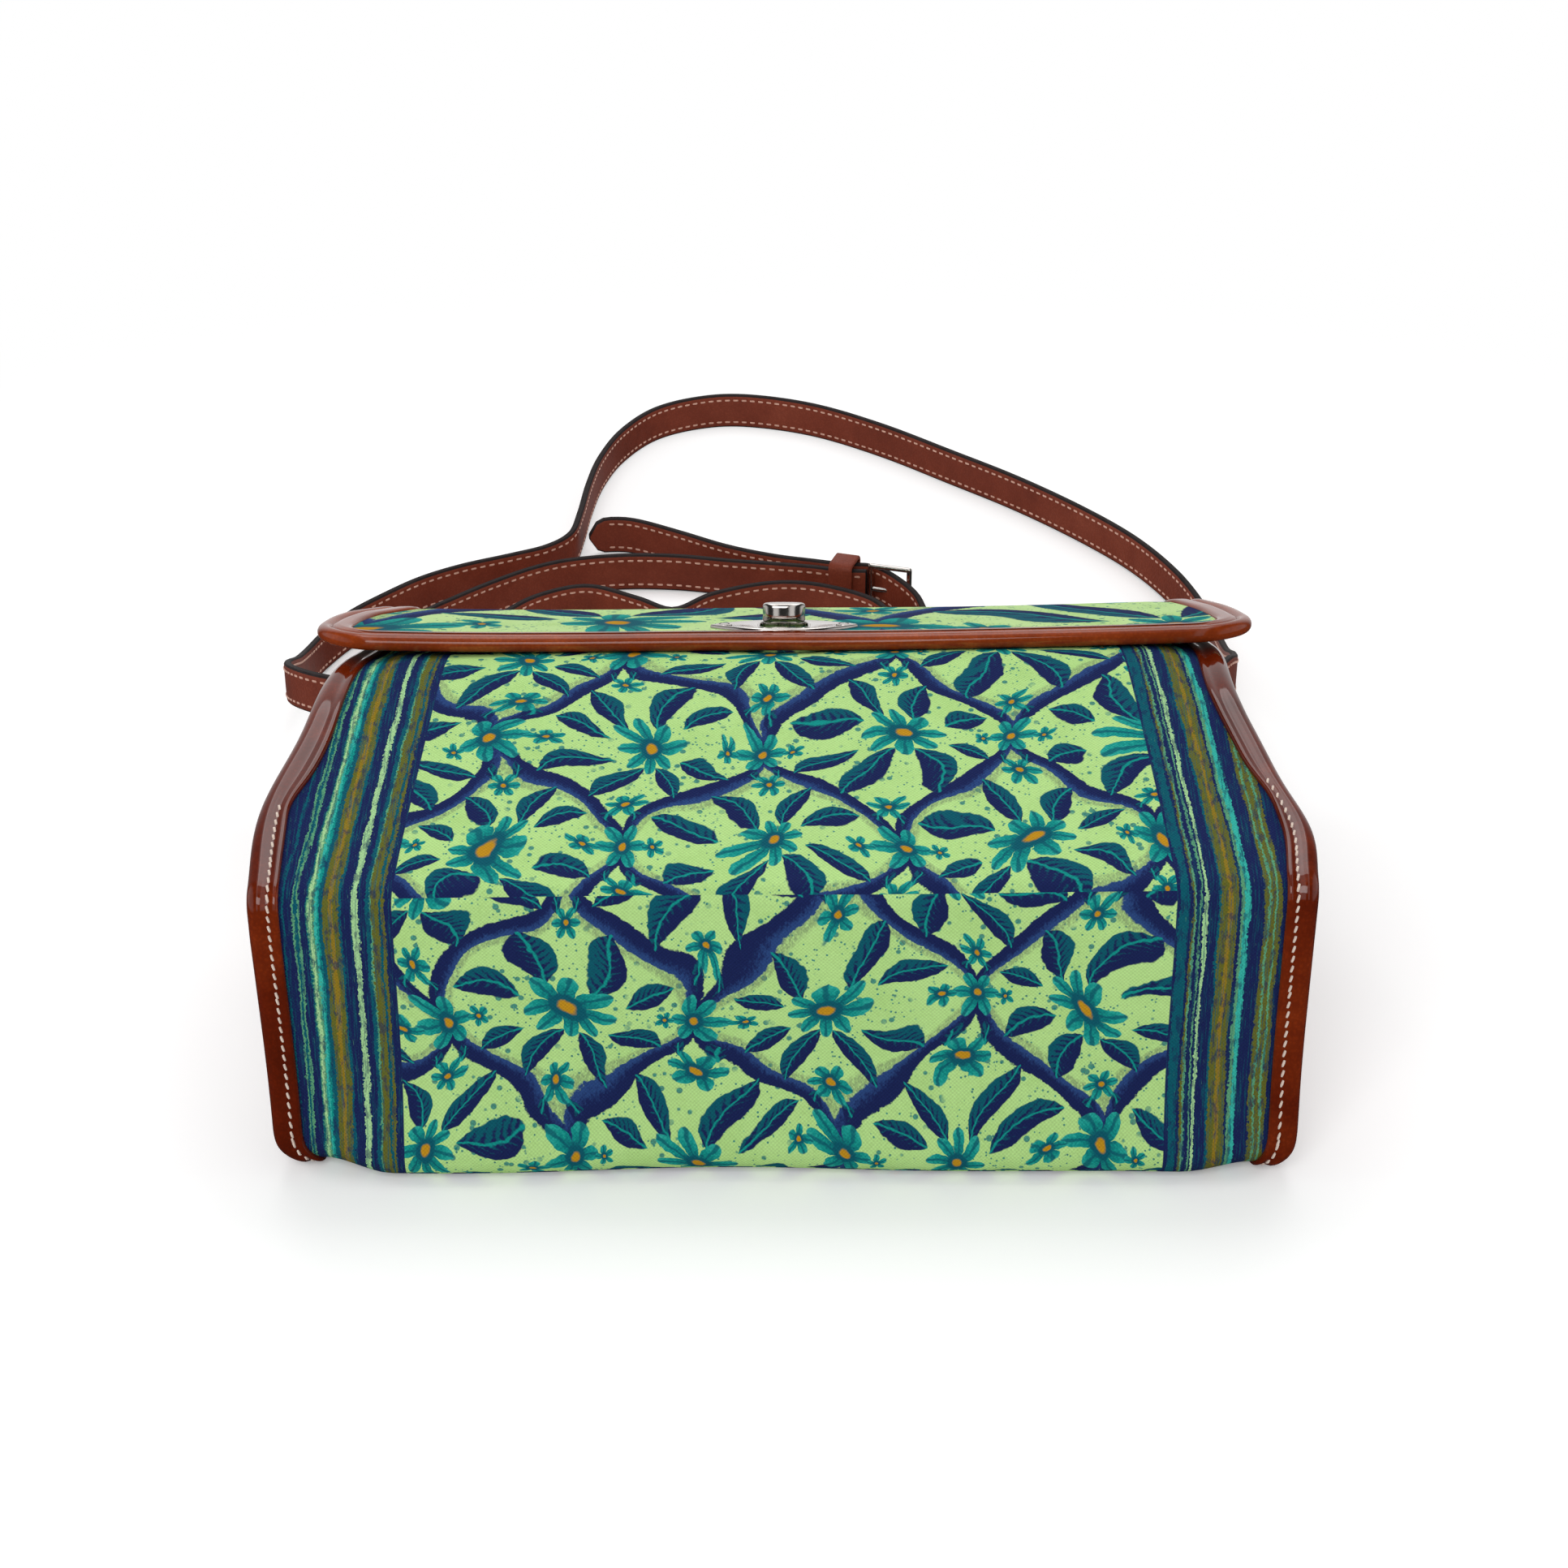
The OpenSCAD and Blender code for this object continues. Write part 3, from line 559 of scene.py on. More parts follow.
def nickel():
    t = Tree("nickel")
    o = t.obj()
    n = t.noise(o, 160.0, 3.0)
    s = t.noise(o, 900.0, 2.0)
    t.bump(s, 0.05, 0.0002)
    return t.done(Base_Color=t.mix(n, srgb(170, 164, 160), srgb(212, 207, 202)), Metallic=1.0,
                  Roughness=t.madd(n, 0.1, 0.07))


canvas_front = printed("canvas_front", 1.0, 32.0, 12.0, FIELD_TAPER)
canvas_base = printed("canvas_base", 1.0, 10.0, -26.0, 0.0)
canvas_back = printed("canvas_back", 1.0, 32.0, 47.0, FIELD_TAPER)
# The flap's print lies on the lighter lime ground of painted light
canvas_flap = printed("canvas_flap", 2.2, 20.0, 52.0, ground=LIME_PAINTED_LIGHT, leaves=LEAVES[2:4])
lining_mat = lining()
POLISHED = dict(rough=0.3, spec=0.0, coat_rough=0.07, coat_ior=1.45, grain=900.0, depth=0.00015)
gloss = leather("gloss_leather", srgb(54, 13, 3), srgb(99, 28, 6), srgb(150, 58, 19), coat=1.0, **POLISHED)
# A lighter copy of the gloss leather for the flap's border: painted light, for the light that its roll catches
# from above
gloss_painted_lit = leather("gloss_leather_painted_lit", srgb(92, 30, 9), srgb(146, 60, 22), srgb(190, 96, 46),
                     coat=0.8, **POLISHED)
strap_mat = leather("strap_leather", srgb(90, 34, 20), srgb(122, 52, 33), srgb(148, 72, 50),
                    rough=0.45, spec=0.2, coat=0.06, coat_rough=0.3, coat_ior=1.4, grain=1100.0, depth=0.0004)
edge_mat = paint_edge()
cream = thread("cream_thread", srgb(206, 180, 164), srgb(236, 220, 206))
tan_thread = thread("tan_thread", srgb(186, 132, 112), srgb(222, 178, 158))
nickel_mat = nickel()


# Mesh helpers
def make(name, verts, faces, mats, index=None, uvs=None, angle=40):
    me = bpy.data.meshes.new(name)
    me.from_pydata([P(v) for v in verts], [], faces)
    for m in mats:
        me.materials.append(m)
    if index is not None:
        me.polygons.foreach_set("material_index", index)
    if uvs is not None:
        layer = me.uv_layers.new(name="UVMap")
        uv = np.asarray(uvs, float)
        loops = np.zeros(len(me.loops), int)
        me.loops.foreach_get("vertex_index", loops)
        layer.data.foreach_set("uv", uv[loops].ravel())
    me.polygons.foreach_set("use_smooth", [True] * len(me.polygons))
    me.set_sharp_from_angle(angle=math.radians(angle))
    me.update()
    o = bpy.data.objects.new(name, me)
    scene.collection.objects.link(o)
    return o


def attach(piece, body, node=None):
    """The piece rides on the body and stands for the node."""
    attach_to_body(piece, body)
    if node is not None:
        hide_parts(node)
    return piece


def circle(r, n):
    return [(r * math.cos(a), r * math.sin(a)) for a in np.linspace(0, 2 * math.pi, n, endpoint=False)]


def rings_mesh(rings, closed=False, caps=True):
    """Faces for equal rings of points joined one after another."""
    n, k = len(rings[0]), len(rings)
    verts = [p for r in rings for p in r]
    faces = []
    for i in range(k if closed else k - 1):
        for j in range(n):
            a, b = i * n + j, i * n + (j + 1) % n
            c, d = ((i + 1) % k) * n + (j + 1) % n, ((i + 1) % k) * n + j
            faces.append((a, b, c, d))
    if caps and not closed:
        faces.append(tuple(range(n - 1, -1, -1)))
        faces.append(tuple((k - 1) * n + j for j in range(n)))
    return verts, faces


# A stitch along its length, as place, width and height, and across it, as place and height
THREAD_LONG = [(-0.5, 0.25, -0.6), (-0.36, 0.9, 0.55), (-0.12, 1.0, 1.0),
               (0.12, 1.0, 1.0), (0.36, 0.9, 0.55), (0.5, 0.25, -0.6)]
THREAD_ACROSS = ((-1, -0.4), (-0.6, 0.75), (0.6, 0.75), (1, -0.4))


def stitches(name, spots, mat, ln, wd, ht, slant=0.0):
    """One small raised thread for each spot, given as place, direction and up."""
    verts, faces = [], []
    for p, t, u in spots:
        p, t, u = np.array(p, float), unit(t), unit(u)
        t = t + np.cross(u, t) * slant
        t = unit(t - u * (t @ u))
        s = np.cross(u, t)
        base = len(verts)
        for a, w, h in THREAD_LONG:
            for c, q in THREAD_ACROSS:
                verts.append(p + t * a * ln + s * c * w * wd / 2 + u * (h * (0.5 + 0.5 * q) - 0.15) * ht)
        for i in range(len(THREAD_LONG) - 1):
            for j in range(4):
                a, b = base + i * 4 + j, base + i * 4 + (j + 1) % 4
                faces.append((a, b, b + 4, a + 4))
        faces.append((base + 3, base + 2, base + 1, base))
        e = base + (len(THREAD_LONG) - 1) * 4
        faces.append((e, e + 1, e + 2, e + 3))
    return make(name, verts, faces, [mat])


# Straps: the same routes as the solids
PATCH_Y = BAG_H - 36
PATCH_X = half_w(PATCH_Y) + PATCH_T + STRAP_T / 4
SHOULDER = [(-PATCH_X, 204, 61), (-168, 210, 61), (-183, 220, 59), (-194, 236, 54), (-200, 258, 45),
            (-204, 288, 31), (-207, 320, 16), (-208, 350, 5), (-205, 376, 0), (-196, 397, 0),
            (-183, 416, 0), (-168, 434, 0), (-150, 448, 0), (-128, 460, 0), (-112, 470, 0),
            (-102, 485, 0), (-99, 510, 0), (-97, 545, 0), (-93, 580, 0), (-84, 615, 0), (-68, 645, 0),
            (-45, 661, 0), (-20, 664, 0), (15, 651, 0), (50, 623, 0), (85, 586, 0), (116, 552, 0),
            (145, 514, 0), (167, 478, 0), (182, 440, 0), (190, 404, 0), (191, 365, 5), (189, 325, 16),
            (186, 290, 31), (181, 258, 45), (175, 234, 56), (166, 214, 61), (PATCH_X, 204, 61)]
BUCKLE = [(-PATCH_X, 204, 9), (-166, 212, 8), (-171, 232, 5), (-160, 258, 1), (-136, 284, 0),
          (-100, 308, 0), (-60, 325, 0), (-20, 338, 0), (15, 352, 0), (40, 372, 0), (47, 392, 0),
          (42, 408, 0), (28, 420, 0), (9, 428, 0), (-10, 427, 0), (-33, 416, 0), (-50, 400, 0),
          (-67, 412, 0), (-90, 425, 0), (-111, 416, 0), (-125, 399, 0), (-136, 378, 0), (-147, 366, 0),
          (-160, 367, 0), (-168, 380, 0), (-163, 397, 0), (-149, 414, 0), (-135, 429, 0), (-117, 445, 0),
          (-100, 454, 0), (-75, 459, 0), (-50, 458, 0), (-27, 453, 0), (0, 444, 2), (14, 439, 3),
          (28, 435, 3), (38, 432, 4)]
TONGUE = [(PATCH_X, 204, 9), (166, 212, 8), (170, 232, 5), (158, 256, 1), (135, 280, 0), (105, 307, 0),
          (82, 340, 0), (70, 372, 0), (64, 396, 0), (60, 412, 2), (51, 426, 4), (41, 438, 4),
          (28, 442, 3), (14, 446, 3), (-5, 454, 2), (-27, 467, 1), (-49, 485, 0), (-70, 499, 0),
          (-82, 502, 0), (-94, 499, 0)]
# Step along a strap, its stitches' pitch and place, the cut of its edges and the swell of its faces
STRAP_STEP, STRAP_PITCH, STRAP_STITCH, STRAP_CUT, STRAP_SWELL = 3.5, 4.6, 2.9, 0.8, 0.12
# Round the section of a strap: 0 leather, 1 painted edge
STRAP_SIDES = [1, 1, 1, 0, 0, 0, 1, 1, 1, 0, 0, 0]


def smooth_route(p, k=8):
    """A smooth curve through the points, with k steps between two of them."""
    p = np.array(p, float)
    n = len(p) - 1
    out = []
    for i in range(n):
        a, b, c, d = p[max(i - 1, 0)], p[i], p[i + 1], p[min(i + 2, n)]
        for j in range(k):
            t = j / k
            square, cube = 2 * a - 5 * b + 4 * c - d, 3 * b - a - 3 * c + d
            out.append(0.5 * (2 * b + (c - a) * t + square * t * t + cube * t ** 3))
    out.append(p[-1])
    return np.array(out)


def strap(name, route, node, tip=False):
    """A flat strap on its edge along a route, with a stitch line along both edges of both faces."""
    path = smooth_route(route)
    total = arc_len(path)[-1]
    path = at_lengths(path, np.linspace(0, total, int(total / STRAP_STEP)))
    s = arc_len(path)
    tang = np.gradient(path, axis=0)
    tang[:, 2] = 0
    tang /= np.linalg.norm(tang, axis=1)[:, None]
    side = np.stack([-tang[:, 1], tang[:, 0], 0 * tang[:, 0]], -1)
    h, c, tip_r = STRAP_T / 2, STRAP_CUT, STRAP_W / 2
    flat, full = h - 0.7 * c, h + STRAP_SWELL
    rings = []
    for i, p in enumerate(path):
        w, left = STRAP_W, total - s[i]
        if tip and left < tip_r:
            w *= math.sqrt(max(0.03, 1 - (1 - left / tip_r) ** 2))
        lo = (STRAP_W - w) / 2
        hi = lo + w
        b = w / 2 if w < 4 else 2.6
        prof = [(-h, lo + c), (-flat, lo), (flat, lo), (h, lo + c), (full, lo + b), (full, hi - b),
                (h, hi - c), (flat, hi), (-flat, hi), (-h, hi - c), (-full, hi - b), (-full, lo + b)]
        rings.append([p + side[i] * a + np.array([0, 0, z]) for a, z in prof])
    verts, faces = rings_mesh(rings)
    index = STRAP_SIDES * (len(rings) - 1) + [1, 1]
    o = make(name, verts, faces, [strap_mat, edge_mat], index, angle=50)
    spots = []
    for d in np.arange(5.0, total - (9 if tip else 4), STRAP_PITCH):
        before, p, after = at_lengths(path, [max(d - 1, 0), d, min(d + 1, total)])
        way = after - before
        n = unit(np.array([-way[1], way[0], 0]))
        for z in (STRAP_STITCH, STRAP_W - STRAP_STITCH):
            for g in (-1, 1):
                spots.append((p + n * g * (h + 0.1) + np.array([0, 0, z]), way, n * g))
    th = stitches(name + "_stitches", spots, tan_thread, ln=3.3, wd=0.95, ht=0.5)
    attach(o, "bag", node)
    attach(th, "bag")


# Keeper: a soft-cornered loop of leather round both layers of strap, turned with them
KEEPER_AT, KEEPER_TURN = (28.0, 438.0), math.atan2(-4.5, 14)
KEEPER_HALF, KEEPER_HIGH, KEEPER_T, KEEPER_R = 8.0, STRAP_W + 7.0, 1.5, 3.2
# Its section as place along the strap and depth under the outside
KEEPER_RINGS = [(-5.5, 0.35), (-5.1, 0.0), (0.0, 0.0), (5.1, 0.0), (5.5, 0.35),
                (5.5, KEEPER_T), (0.0, KEEPER_T), (-5.5, KEEPER_T)]


def keeper():
    corners = [(-KEEPER_HALF, 0, KEEPER_R), (KEEPER_HALF, 0, KEEPER_R),
               (KEEPER_HALF, KEEPER_HIGH, KEEPER_R), (-KEEPER_HALF, KEEPER_HIGH, KEEPER_R)]
    (cx, cy), c, s = KEEPER_AT, math.cos(KEEPER_TURN), math.sin(KEEPER_TURN)
    rings = []
    for x, d in KEEPER_RINGS:
        rings.append([(cx + x * c - q[0] * s, cy + x * s + q[0] * c, q[1]) for q in rounded(corners, d, 6)])
    verts, faces = rings_mesh(rings, closed=True)
    o = make("keeper_loop", verts, faces, [strap_mat], angle=50)
    return attach(o, "bag", "strap_keeper")


keeper_piece = keeper()
for n in ("buckle_frame", "buckle_prong", "lock_base", "lock_base_washer", "lock_backplate", "lock_screws"):
    me = nodes[n].data
    me.materials.clear()
    me.materials.append(nickel_mat)
strap("shoulder_strap_leather", SHOULDER, "shoulder_strap")
strap("buckle_strap_leather", BUCKLE, "buckle_strap")
strap("tongue_strap_leather", TONGUE, "tongue_strap", tip=True)


# Canvas panels
def merged(parts, digits):
    """All values of the parts in order, each once."""
    return np.array(sorted(set(np.round(np.concatenate(parts), digits))))


def panel(name, outline, half, ts, rows, thick, disp, canvas, uv_dir=1, hole=None, sagged=None):
    """A closed, lined sheet along a part of the outline: rows along it, and ts, -1 to 1, across it."""
    s_all = arc_len(outline)[-1]
    pts = at_lengths(outline, rows)
    low = pts if sagged is None else at_lengths(sagged, rows * arc_len(sagged)[-1] / s_all)
    fine = np.linspace(0, s_all, 400)
    nrm = normals(at_lengths(outline, fine))
    nrm = np.stack([np.interp(rows, fine, nrm[:, k]) for k in (0, 1)], -1)
    nt, ns = len(ts), len(rows)
    verts, uvs = [], []
    for layer in (0, 1):
        for j in range(ns):
            y, z = pts[j]
            for t in ts:
                x = t * half(y, z, -1 if t < 0 else 1)
                d = disp(x, t, rows[j], y) - layer * thick
                py, pz = pts[j] + (low[j] - pts[j]) * sag_share(x, t, z) + nrm[j] * d
                verts.append((x, py, max(pz, FLOOR_Z + layer * thick)))
                v = rows[j] if uv_dir > 0 else s_all - rows[j]
                uvs.append((x / 1000, v / 1000))

    def idx(layer, j, i):
        return layer * ns * nt + j * nt + i

    solid = np.ones((ns - 1, nt - 1), bool)
    if hole is not None:
        for j in range(ns - 1):
            for i in range(nt - 1):
                xm = (ts[i] + ts[i + 1]) / 2 * half(*pts[j], 1)
                ym = (pts[j][0] + pts[j + 1][0]) / 2
                solid[j, i] = not (hole[0] < xm < hole[1] and hole[2] < ym < hole[3])
    faces, index = [], []
    for j in range(ns - 1):
        for i in range(nt - 1):
            if not solid[j, i]:
                continue
            a, b, c, d = (j, i), (j, i + 1), (j + 1, i + 1), (j + 1, i)
            faces.append([idx(0, *q) for q in (a, b, c, d)])
            index.append(0)
            faces.append([idx(1, *q) for q in (d, c, b, a)])
            index.append(1)
            for p, q, dj, di in ((a, b, -1, 0), (b, c, 0, 1), (c, d, 1, 0), (d, a, 0, -1)):
                jj, ii = j + dj, i + di
                if 0 <= jj < ns - 1 and 0 <= ii < nt - 1 and solid[jj, ii]:
                    continue
                faces.append([idx(0, *q), idx(0, *p), idx(1, *p), idx(1, *q)])
                index.append(0)
    o = make(name, verts, faces, [canvas, lining_mat], index, uvs, angle=60)
    spans = np.array([half(*q, -1) + half(*q, 1) for q in pts])
    return o


# Gathers beside the stitches as depth, reach across and pitch; the flat rim of a panel, across and along
PUCKER, PUCKER_RUN, PUCKER_PITCH = 0.3, 0.035, 6.0
RIM_ACROSS, RIM_ALONG = 0.2, 26.0


def pucker(t, s):
    """Small gathers of the cloth beside the stitched edge."""
    wave = 0.5 + 0.5 * math.sin(2 * math.pi * s / PUCKER_PITCH)
    return -PUCKER * math.exp(-(1 - abs(t)) / PUCKER_RUN) * wave


def pillow(t, s, length):
    """0 at the sewn edges of a panel, 1 in its middle."""
    return ease(min(1.0, (1 - abs(t)) / RIM_ACROSS, s / RIM_ALONG, (length - s) / RIM_ALONG))


def sag_share(x, t, z):
    """How far the cloth sags onto the table at the heel, less beside the leather."""
    end = ease(held((1 - abs(t) - 0.03) / 0.15))
    inner = 1 - 0.2 * hump(x / 62) + 0.05 * math.sin(x / 23)
    outer = HEEL_OUT[1 if t > 0 else -1] / HEEL_SAG
    return (outer + (inner - outer) * end) * hump(z / HEEL_HIGH)


def crease(s):
    """The seam between front and bottom, s away from it, pulls the cloth in."""
    return -0.7 * hump(s / 2.4)


def ripple(x, s, k):
    """Slow unevenness of the cloth, another one for each k."""
    return math.sin(x / 47 + k) * math.sin(s / 39 + 1.7 * k) + 0.6 * math.sin(x / 23 - s / 31 + 2 * k)


PANEL_AT, FLOOR_Z = LEATHER_T + SEAM, 0.02
COVER_FROM, COVER_RUN = 120.0, 14.0
# The front swells towards the flap's edge, except round the lock, as amount, place and run
FULL, FULL_AT, FULL_RUN, LOCK_ROOM = 3.1, 129.0, 19.0, 17.0
# Half of the hole for the lock's stem, the slack in finding its faces, and the strip of close rows by the
# crease
STEM_HOLE, HOLE_SLACK, CREASE_ROWS = 3.2, 0.1, 9.0
ts = merged([np.linspace(-1, 1, 89), np.linspace(-1, -0.9, 12), np.linspace(0.9, 1, 12)], 5)


def body_half(y, z, side):
    return side_w(y, z, side) - EDGE_R - SEAM


def cover(y):
    """1 where the flap lies over the front, falling to 0 in front of it."""
    return held((y - COVER_FROM) / COVER_RUN)


front_line = stretch(3, 5, PANEL_AT)
front_len = arc_len(front_line)[-1]
lock_s = float(np.interp(-LOCK_Y, -front_line[:, 0], arc_len(front_line)))
lock_half = body_half(LOCK_Y, LOCK_Z, 1)
front_close = front_len - CREASE_ROWS
front_rows = merged([np.linspace(0, front_close, 60), np.linspace(front_close, front_len, 9),
                     [lock_s - STEM_HOLE, lock_s + STEM_HOLE]], 4)
front_ts = merged([ts, [-STEM_HOLE / lock_half, STEM_HOLE / lock_half]], 5)


def front_disp(x, t, s, y):
    swell = pillow(t, s, front_len) * (0.9 + 0.4 * ripple(x, s, 0.4))
    full = FULL * hump((y - FULL_AT) / FULL_RUN) * min(1.0, (1 - abs(t)) / 0.12)
    full *= 1 - hump(math.hypot(x, y - LOCK_Y) / LOCK_ROOM)
    return swell * (1 - 0.85 * cover(y)) + full + pucker(t, s) + crease(front_len - s)


cut = STEM_HOLE + HOLE_SLACK
front = panel("front_cloth", front_line, body_half, front_ts, front_rows, CANVAS_T, front_disp,
              canvas_front, -1, (-cut, cut, LOCK_Y - cut, LOCK_Y + cut))
base_line = stretch(5, 0, PANEL_AT)
base_len = arc_len(base_line)[-1]


def base_disp(x, t, s, y):
    swell = pillow(t, s, base_len) * (0.7 + 0.45 * ripple(x, s, 1.3))
    return swell + pucker(t, s) + crease(s)


base_rows = np.concatenate([np.linspace(0, CREASE_ROWS, 9), np.linspace(11, base_len - 24, 26),
                            np.linspace(base_len - 22, base_len, 16)])
bottom = panel("bottom_cloth", base_line, body_half, ts, base_rows, CANVAS_T, base_disp, canvas_base, -1,
               sagged=stretch(5, 0, 0.0, SAGGED))
back_line = stretch(0, 2, PANEL_AT)
back_len = arc_len(back_line)[-1]


def back_disp(x, t, s, y):
    """The back lies down on the table between the leather laps."""
    edge = min(1.0, (half_w(y) - FLANGE - 0.5 - abs(x)) / 6) * min(1.0, s / 20)
    flat = held((y - 14) / 8) * held((BAG_H - LIFT_RUN - 30 - y) / 8)
    return (PANEL_AT - FLOOR_Z) * max(0.0, edge) * flat


back_rows = np.concatenate([np.linspace(0, 24, 16), np.linspace(27, back_len, 64)])
back = panel("back_cloth", back_line, body_half, ts, back_rows, CANVAS_T, back_disp, canvas_back,
             sagged=stretch(0, 2, 0.0, SAGGED))
for o, n in ((front, "front_panel"), (bottom, "bottom_panel"), (back, "back_panel")):
    attach(o, "bag", n)


# Piped top edge of the back that the flap turns about
def piping():
    hw = half_w(hinge[0]) - FLANGE - 0.3
    web = [rear + out * mouth_out + along * mouth_dir
           for out, along in ((0.2, 0.3), (-3, 2.2), (-5.2, 1.8), (-5.2, 0.9), (-1, -0.6))]
    web = [hinge - 0.2 * mouth_dir] + web + [hinge - 1.8 * mouth_dir]
    bead = [hinge + BEAD_R * np.array(q) for q in circle(1.0, 28)]
    verts, faces = [], []
    for sec in (web, bead):
        v, f = rings_mesh([[(x, q[0], q[1]) for q in sec] for x in np.linspace(-hw, hw, 60)])
        faces += [tuple(k + len(verts) for k in q) for q in f]
        verts += v
    attach(make("flap_piping", verts, faces, [gloss], angle=45), "bag")


piping()


# Leather sides: a tray with a rolled outer edge and a raised lip, lapped over the cloth
ROLL, ROLL_AT_A, ROLL_PROUD = 4.3, 4.1, 0.4
# The lap from its edge to the roll, as share of the way and depth under the outline
LAP = [(0.97, 0.05), (0.9, -0.16), (0.8, -0.2), (0.68, -0.02),
       (0.57, 0.2), (0.46, 0.3), (0.34, 0.18), (0.18, -0.12)]
# The lap is narrower where the stitches end and, on the left, wider round that, as amount, place and run
LAP_NARROW, LAP_WIDE = (2.0, 46.0, 11.0), (2.4, 60.0, 30.0)
STITCH_AT, STITCH_PITCH, STITCH_TOP = 0.46, 3.6, {-1: 44.0, 1: 53.0}
STITCH_SLANT = 0.26
# The dip in the middle of the side, and the point that its rings shrink to
DIMPLE, DIMPLE_AT, DIMPLE_RUN, FAN_CENTRE = 4.0, (95.0, 60.0), (62.0, 34.0), np.array([105.0, 58.0])
FAN_OUT, FAN_IN = (0.965, 0.9, 0.8, 0.68, 0.54, 0.4, 0.26, 0.13, 0.04), (0.04, 0.26, 0.54, 0.8, 0.93)
GUSSET_POINTS = 520


def bulge(y, shape):
    """A swelling along y, given as amount, place and run."""
    return shape[0] * np.exp(-((y - shape[1]) / shape[2]) ** 2)


def gusset(name, node, side):
    outline = rounded(SIDE, 0.0)
    outline = np.vstack([outline, outline[:1]])
    n = GUSSET_POINTS
    total = arc_len(outline)[-1]
    loop = at_lengths(outline, np.linspace(0, total, n, endpoint=False))
    t = np.roll(loop, -1, axis=0) - np.roll(loop, 1, axis=0)
    t /= np.linalg.norm(t, axis=1)[:, None]
    inward = np.stack([-t[:, 1], t[:, 0]], -1)
    # 1 along the mouth, where the lap ends at the roll
    ends = [np.clip((d - 3) / 6, 0, 1) for d in ((loop - rear) @ mouth_dir, (fold - loop) @ mouth_dir)]
    mouth = ends[0] * ends[1] * ((loop - rear) @ mouth_out > -12)
    front_side = loop[:, 1] > 60
    lap = FLANGE - bulge(loop[:, 0], LAP_NARROW) * front_side
    if side < 0:
        lap = lap + bulge(loop[:, 0], LAP_WIDE) * front_side
    lap = lap - mouth * (lap - EDGE_R - 1.2)
    rings = []

    def ring(d, a):
        q = loop + inward * d
        x = np.array([side_w(*p, side) for p in q]) - a
        return [(side * x[k], heel_y(*q[k], side), q[k][1]) for k in range(n)]

    def fan(f, inset):
        out = []
        for k in range(n):
            q = FAN_CENTRE + (loop[k] + inward[k] * EDGE_R - FAN_CENTRE) * f
            dip = math.prod(hump((q[i] - DIMPLE_AT[i]) / DIMPLE_RUN[i]) for i in (0, 1))
            wave = 0.5 * math.sin(q[0] / 17 + 0.6) * math.sin(q[1] / 21)
            out.append((side * (side_w(*q, side) - inset - dip * (DIMPLE + wave)), heel_y(*q, side), q[1]))
        return out

    # Outer face: the lap, the roll, and the side
    rings.append(ring(LEATHER_T - 0.1, lap + 0.15))
    rings.append(ring(0.55, lap + 0.25))
    for share, d in LAP:
        rings.append(ring(d, ROLL_AT_A + (lap - ROLL_AT_A) * share))
    for a in np.radians(np.linspace(0, 90, 9)):
        rings.append(ring(ROLL * (1 - math.cos(a)) - ROLL_PROUD, ROLL_AT_A - ROLL * math.sin(a)))
    rings.append(ring(EDGE_R, 0.0))
    for f in FAN_OUT:
        rings.append(fan(f, 0.0))
    outer_last = len(rings) - 1
    # Lined inner face
    for f in FAN_IN:
        rings.append(fan(f, LEATHER_T))
    inner_r = EDGE_R - LEATHER_T
    for a in np.radians((90, 60, 30, 0)):
        rings.append(ring(LEATHER_T + inner_r * (1 - math.cos(a)), LEATHER_T + inner_r * (1 - math.sin(a))))
    verts = [p for r in rings for p in r]
    faces, index, k = [], [], len(rings)
    for i in range(k):
        if i == outer_last:
            continue
        for j in range(n):
            up, nxt = (i + 1) % k, (j + 1) % n
            q = [i * n + j, i * n + nxt, up * n + nxt, up * n + j]
            faces.append(q if side > 0 else q[::-1])
            index.append(0 if i < outer_last else 1)
    for i, flip in ((outer_last, False), (outer_last + 1, True)):
        f = [i * n + j for j in range(n)]
        faces.append(f if flip == (side > 0) else f[::-1])
        index.append(1 if flip else 0)
    uvs = [(v[1] / 1000, v[2] / 1000) for v in verts]
    o = make(name, verts, faces, [gloss, lining_mat], index, uvs, angle=55)
    attach(o, "bag", node)
    # Pale stitches along the lap, which end part of the way up the front and leave out the mouth
    spots = []
    s = np.linspace(0, total, n, endpoint=False)
    for d in np.arange(0, total, STITCH_PITCH):
        k = int(np.searchsorted(s, d)) % n
        if mouth[k] > 0.02 or (front_side[k] and loop[k][0] > STITCH_TOP[side]):
            continue
        q = loop[k] + inward[k] * 0.3
        x = side_w(*q, side) - ROLL_AT_A - (lap[k] - ROLL_AT_A) * STITCH_AT
        spots.append(((side * x, heel_y(*q, side), q[1]), (0, *t[k]), (0, *-inward[k])))
    th = stitches(name + "_stitches", spots, cream, ln=3.2, wd=0.9, ht=0.7, slant=-STITCH_SLANT * side)
    attach(th, "bag")


gusset("left_leather", "left_gusset", -1)
gusset("right_leather", "right_gusset", 1)


# Strap patches on the sides, with rounded edges and stitches round them
# The section of a patch from its rim inwards, as inset and height, and its line of stitches
PATCH_RINGS = [(0.0, SEAM), (0.0, 1.3), (0.35, 1.8), (1.0, PATCH_T), (2.6, PATCH_T - 0.25), (4.0, PATCH_T)]
PATCH_STITCH, PATCH_PITCH = 2.6, 5.4


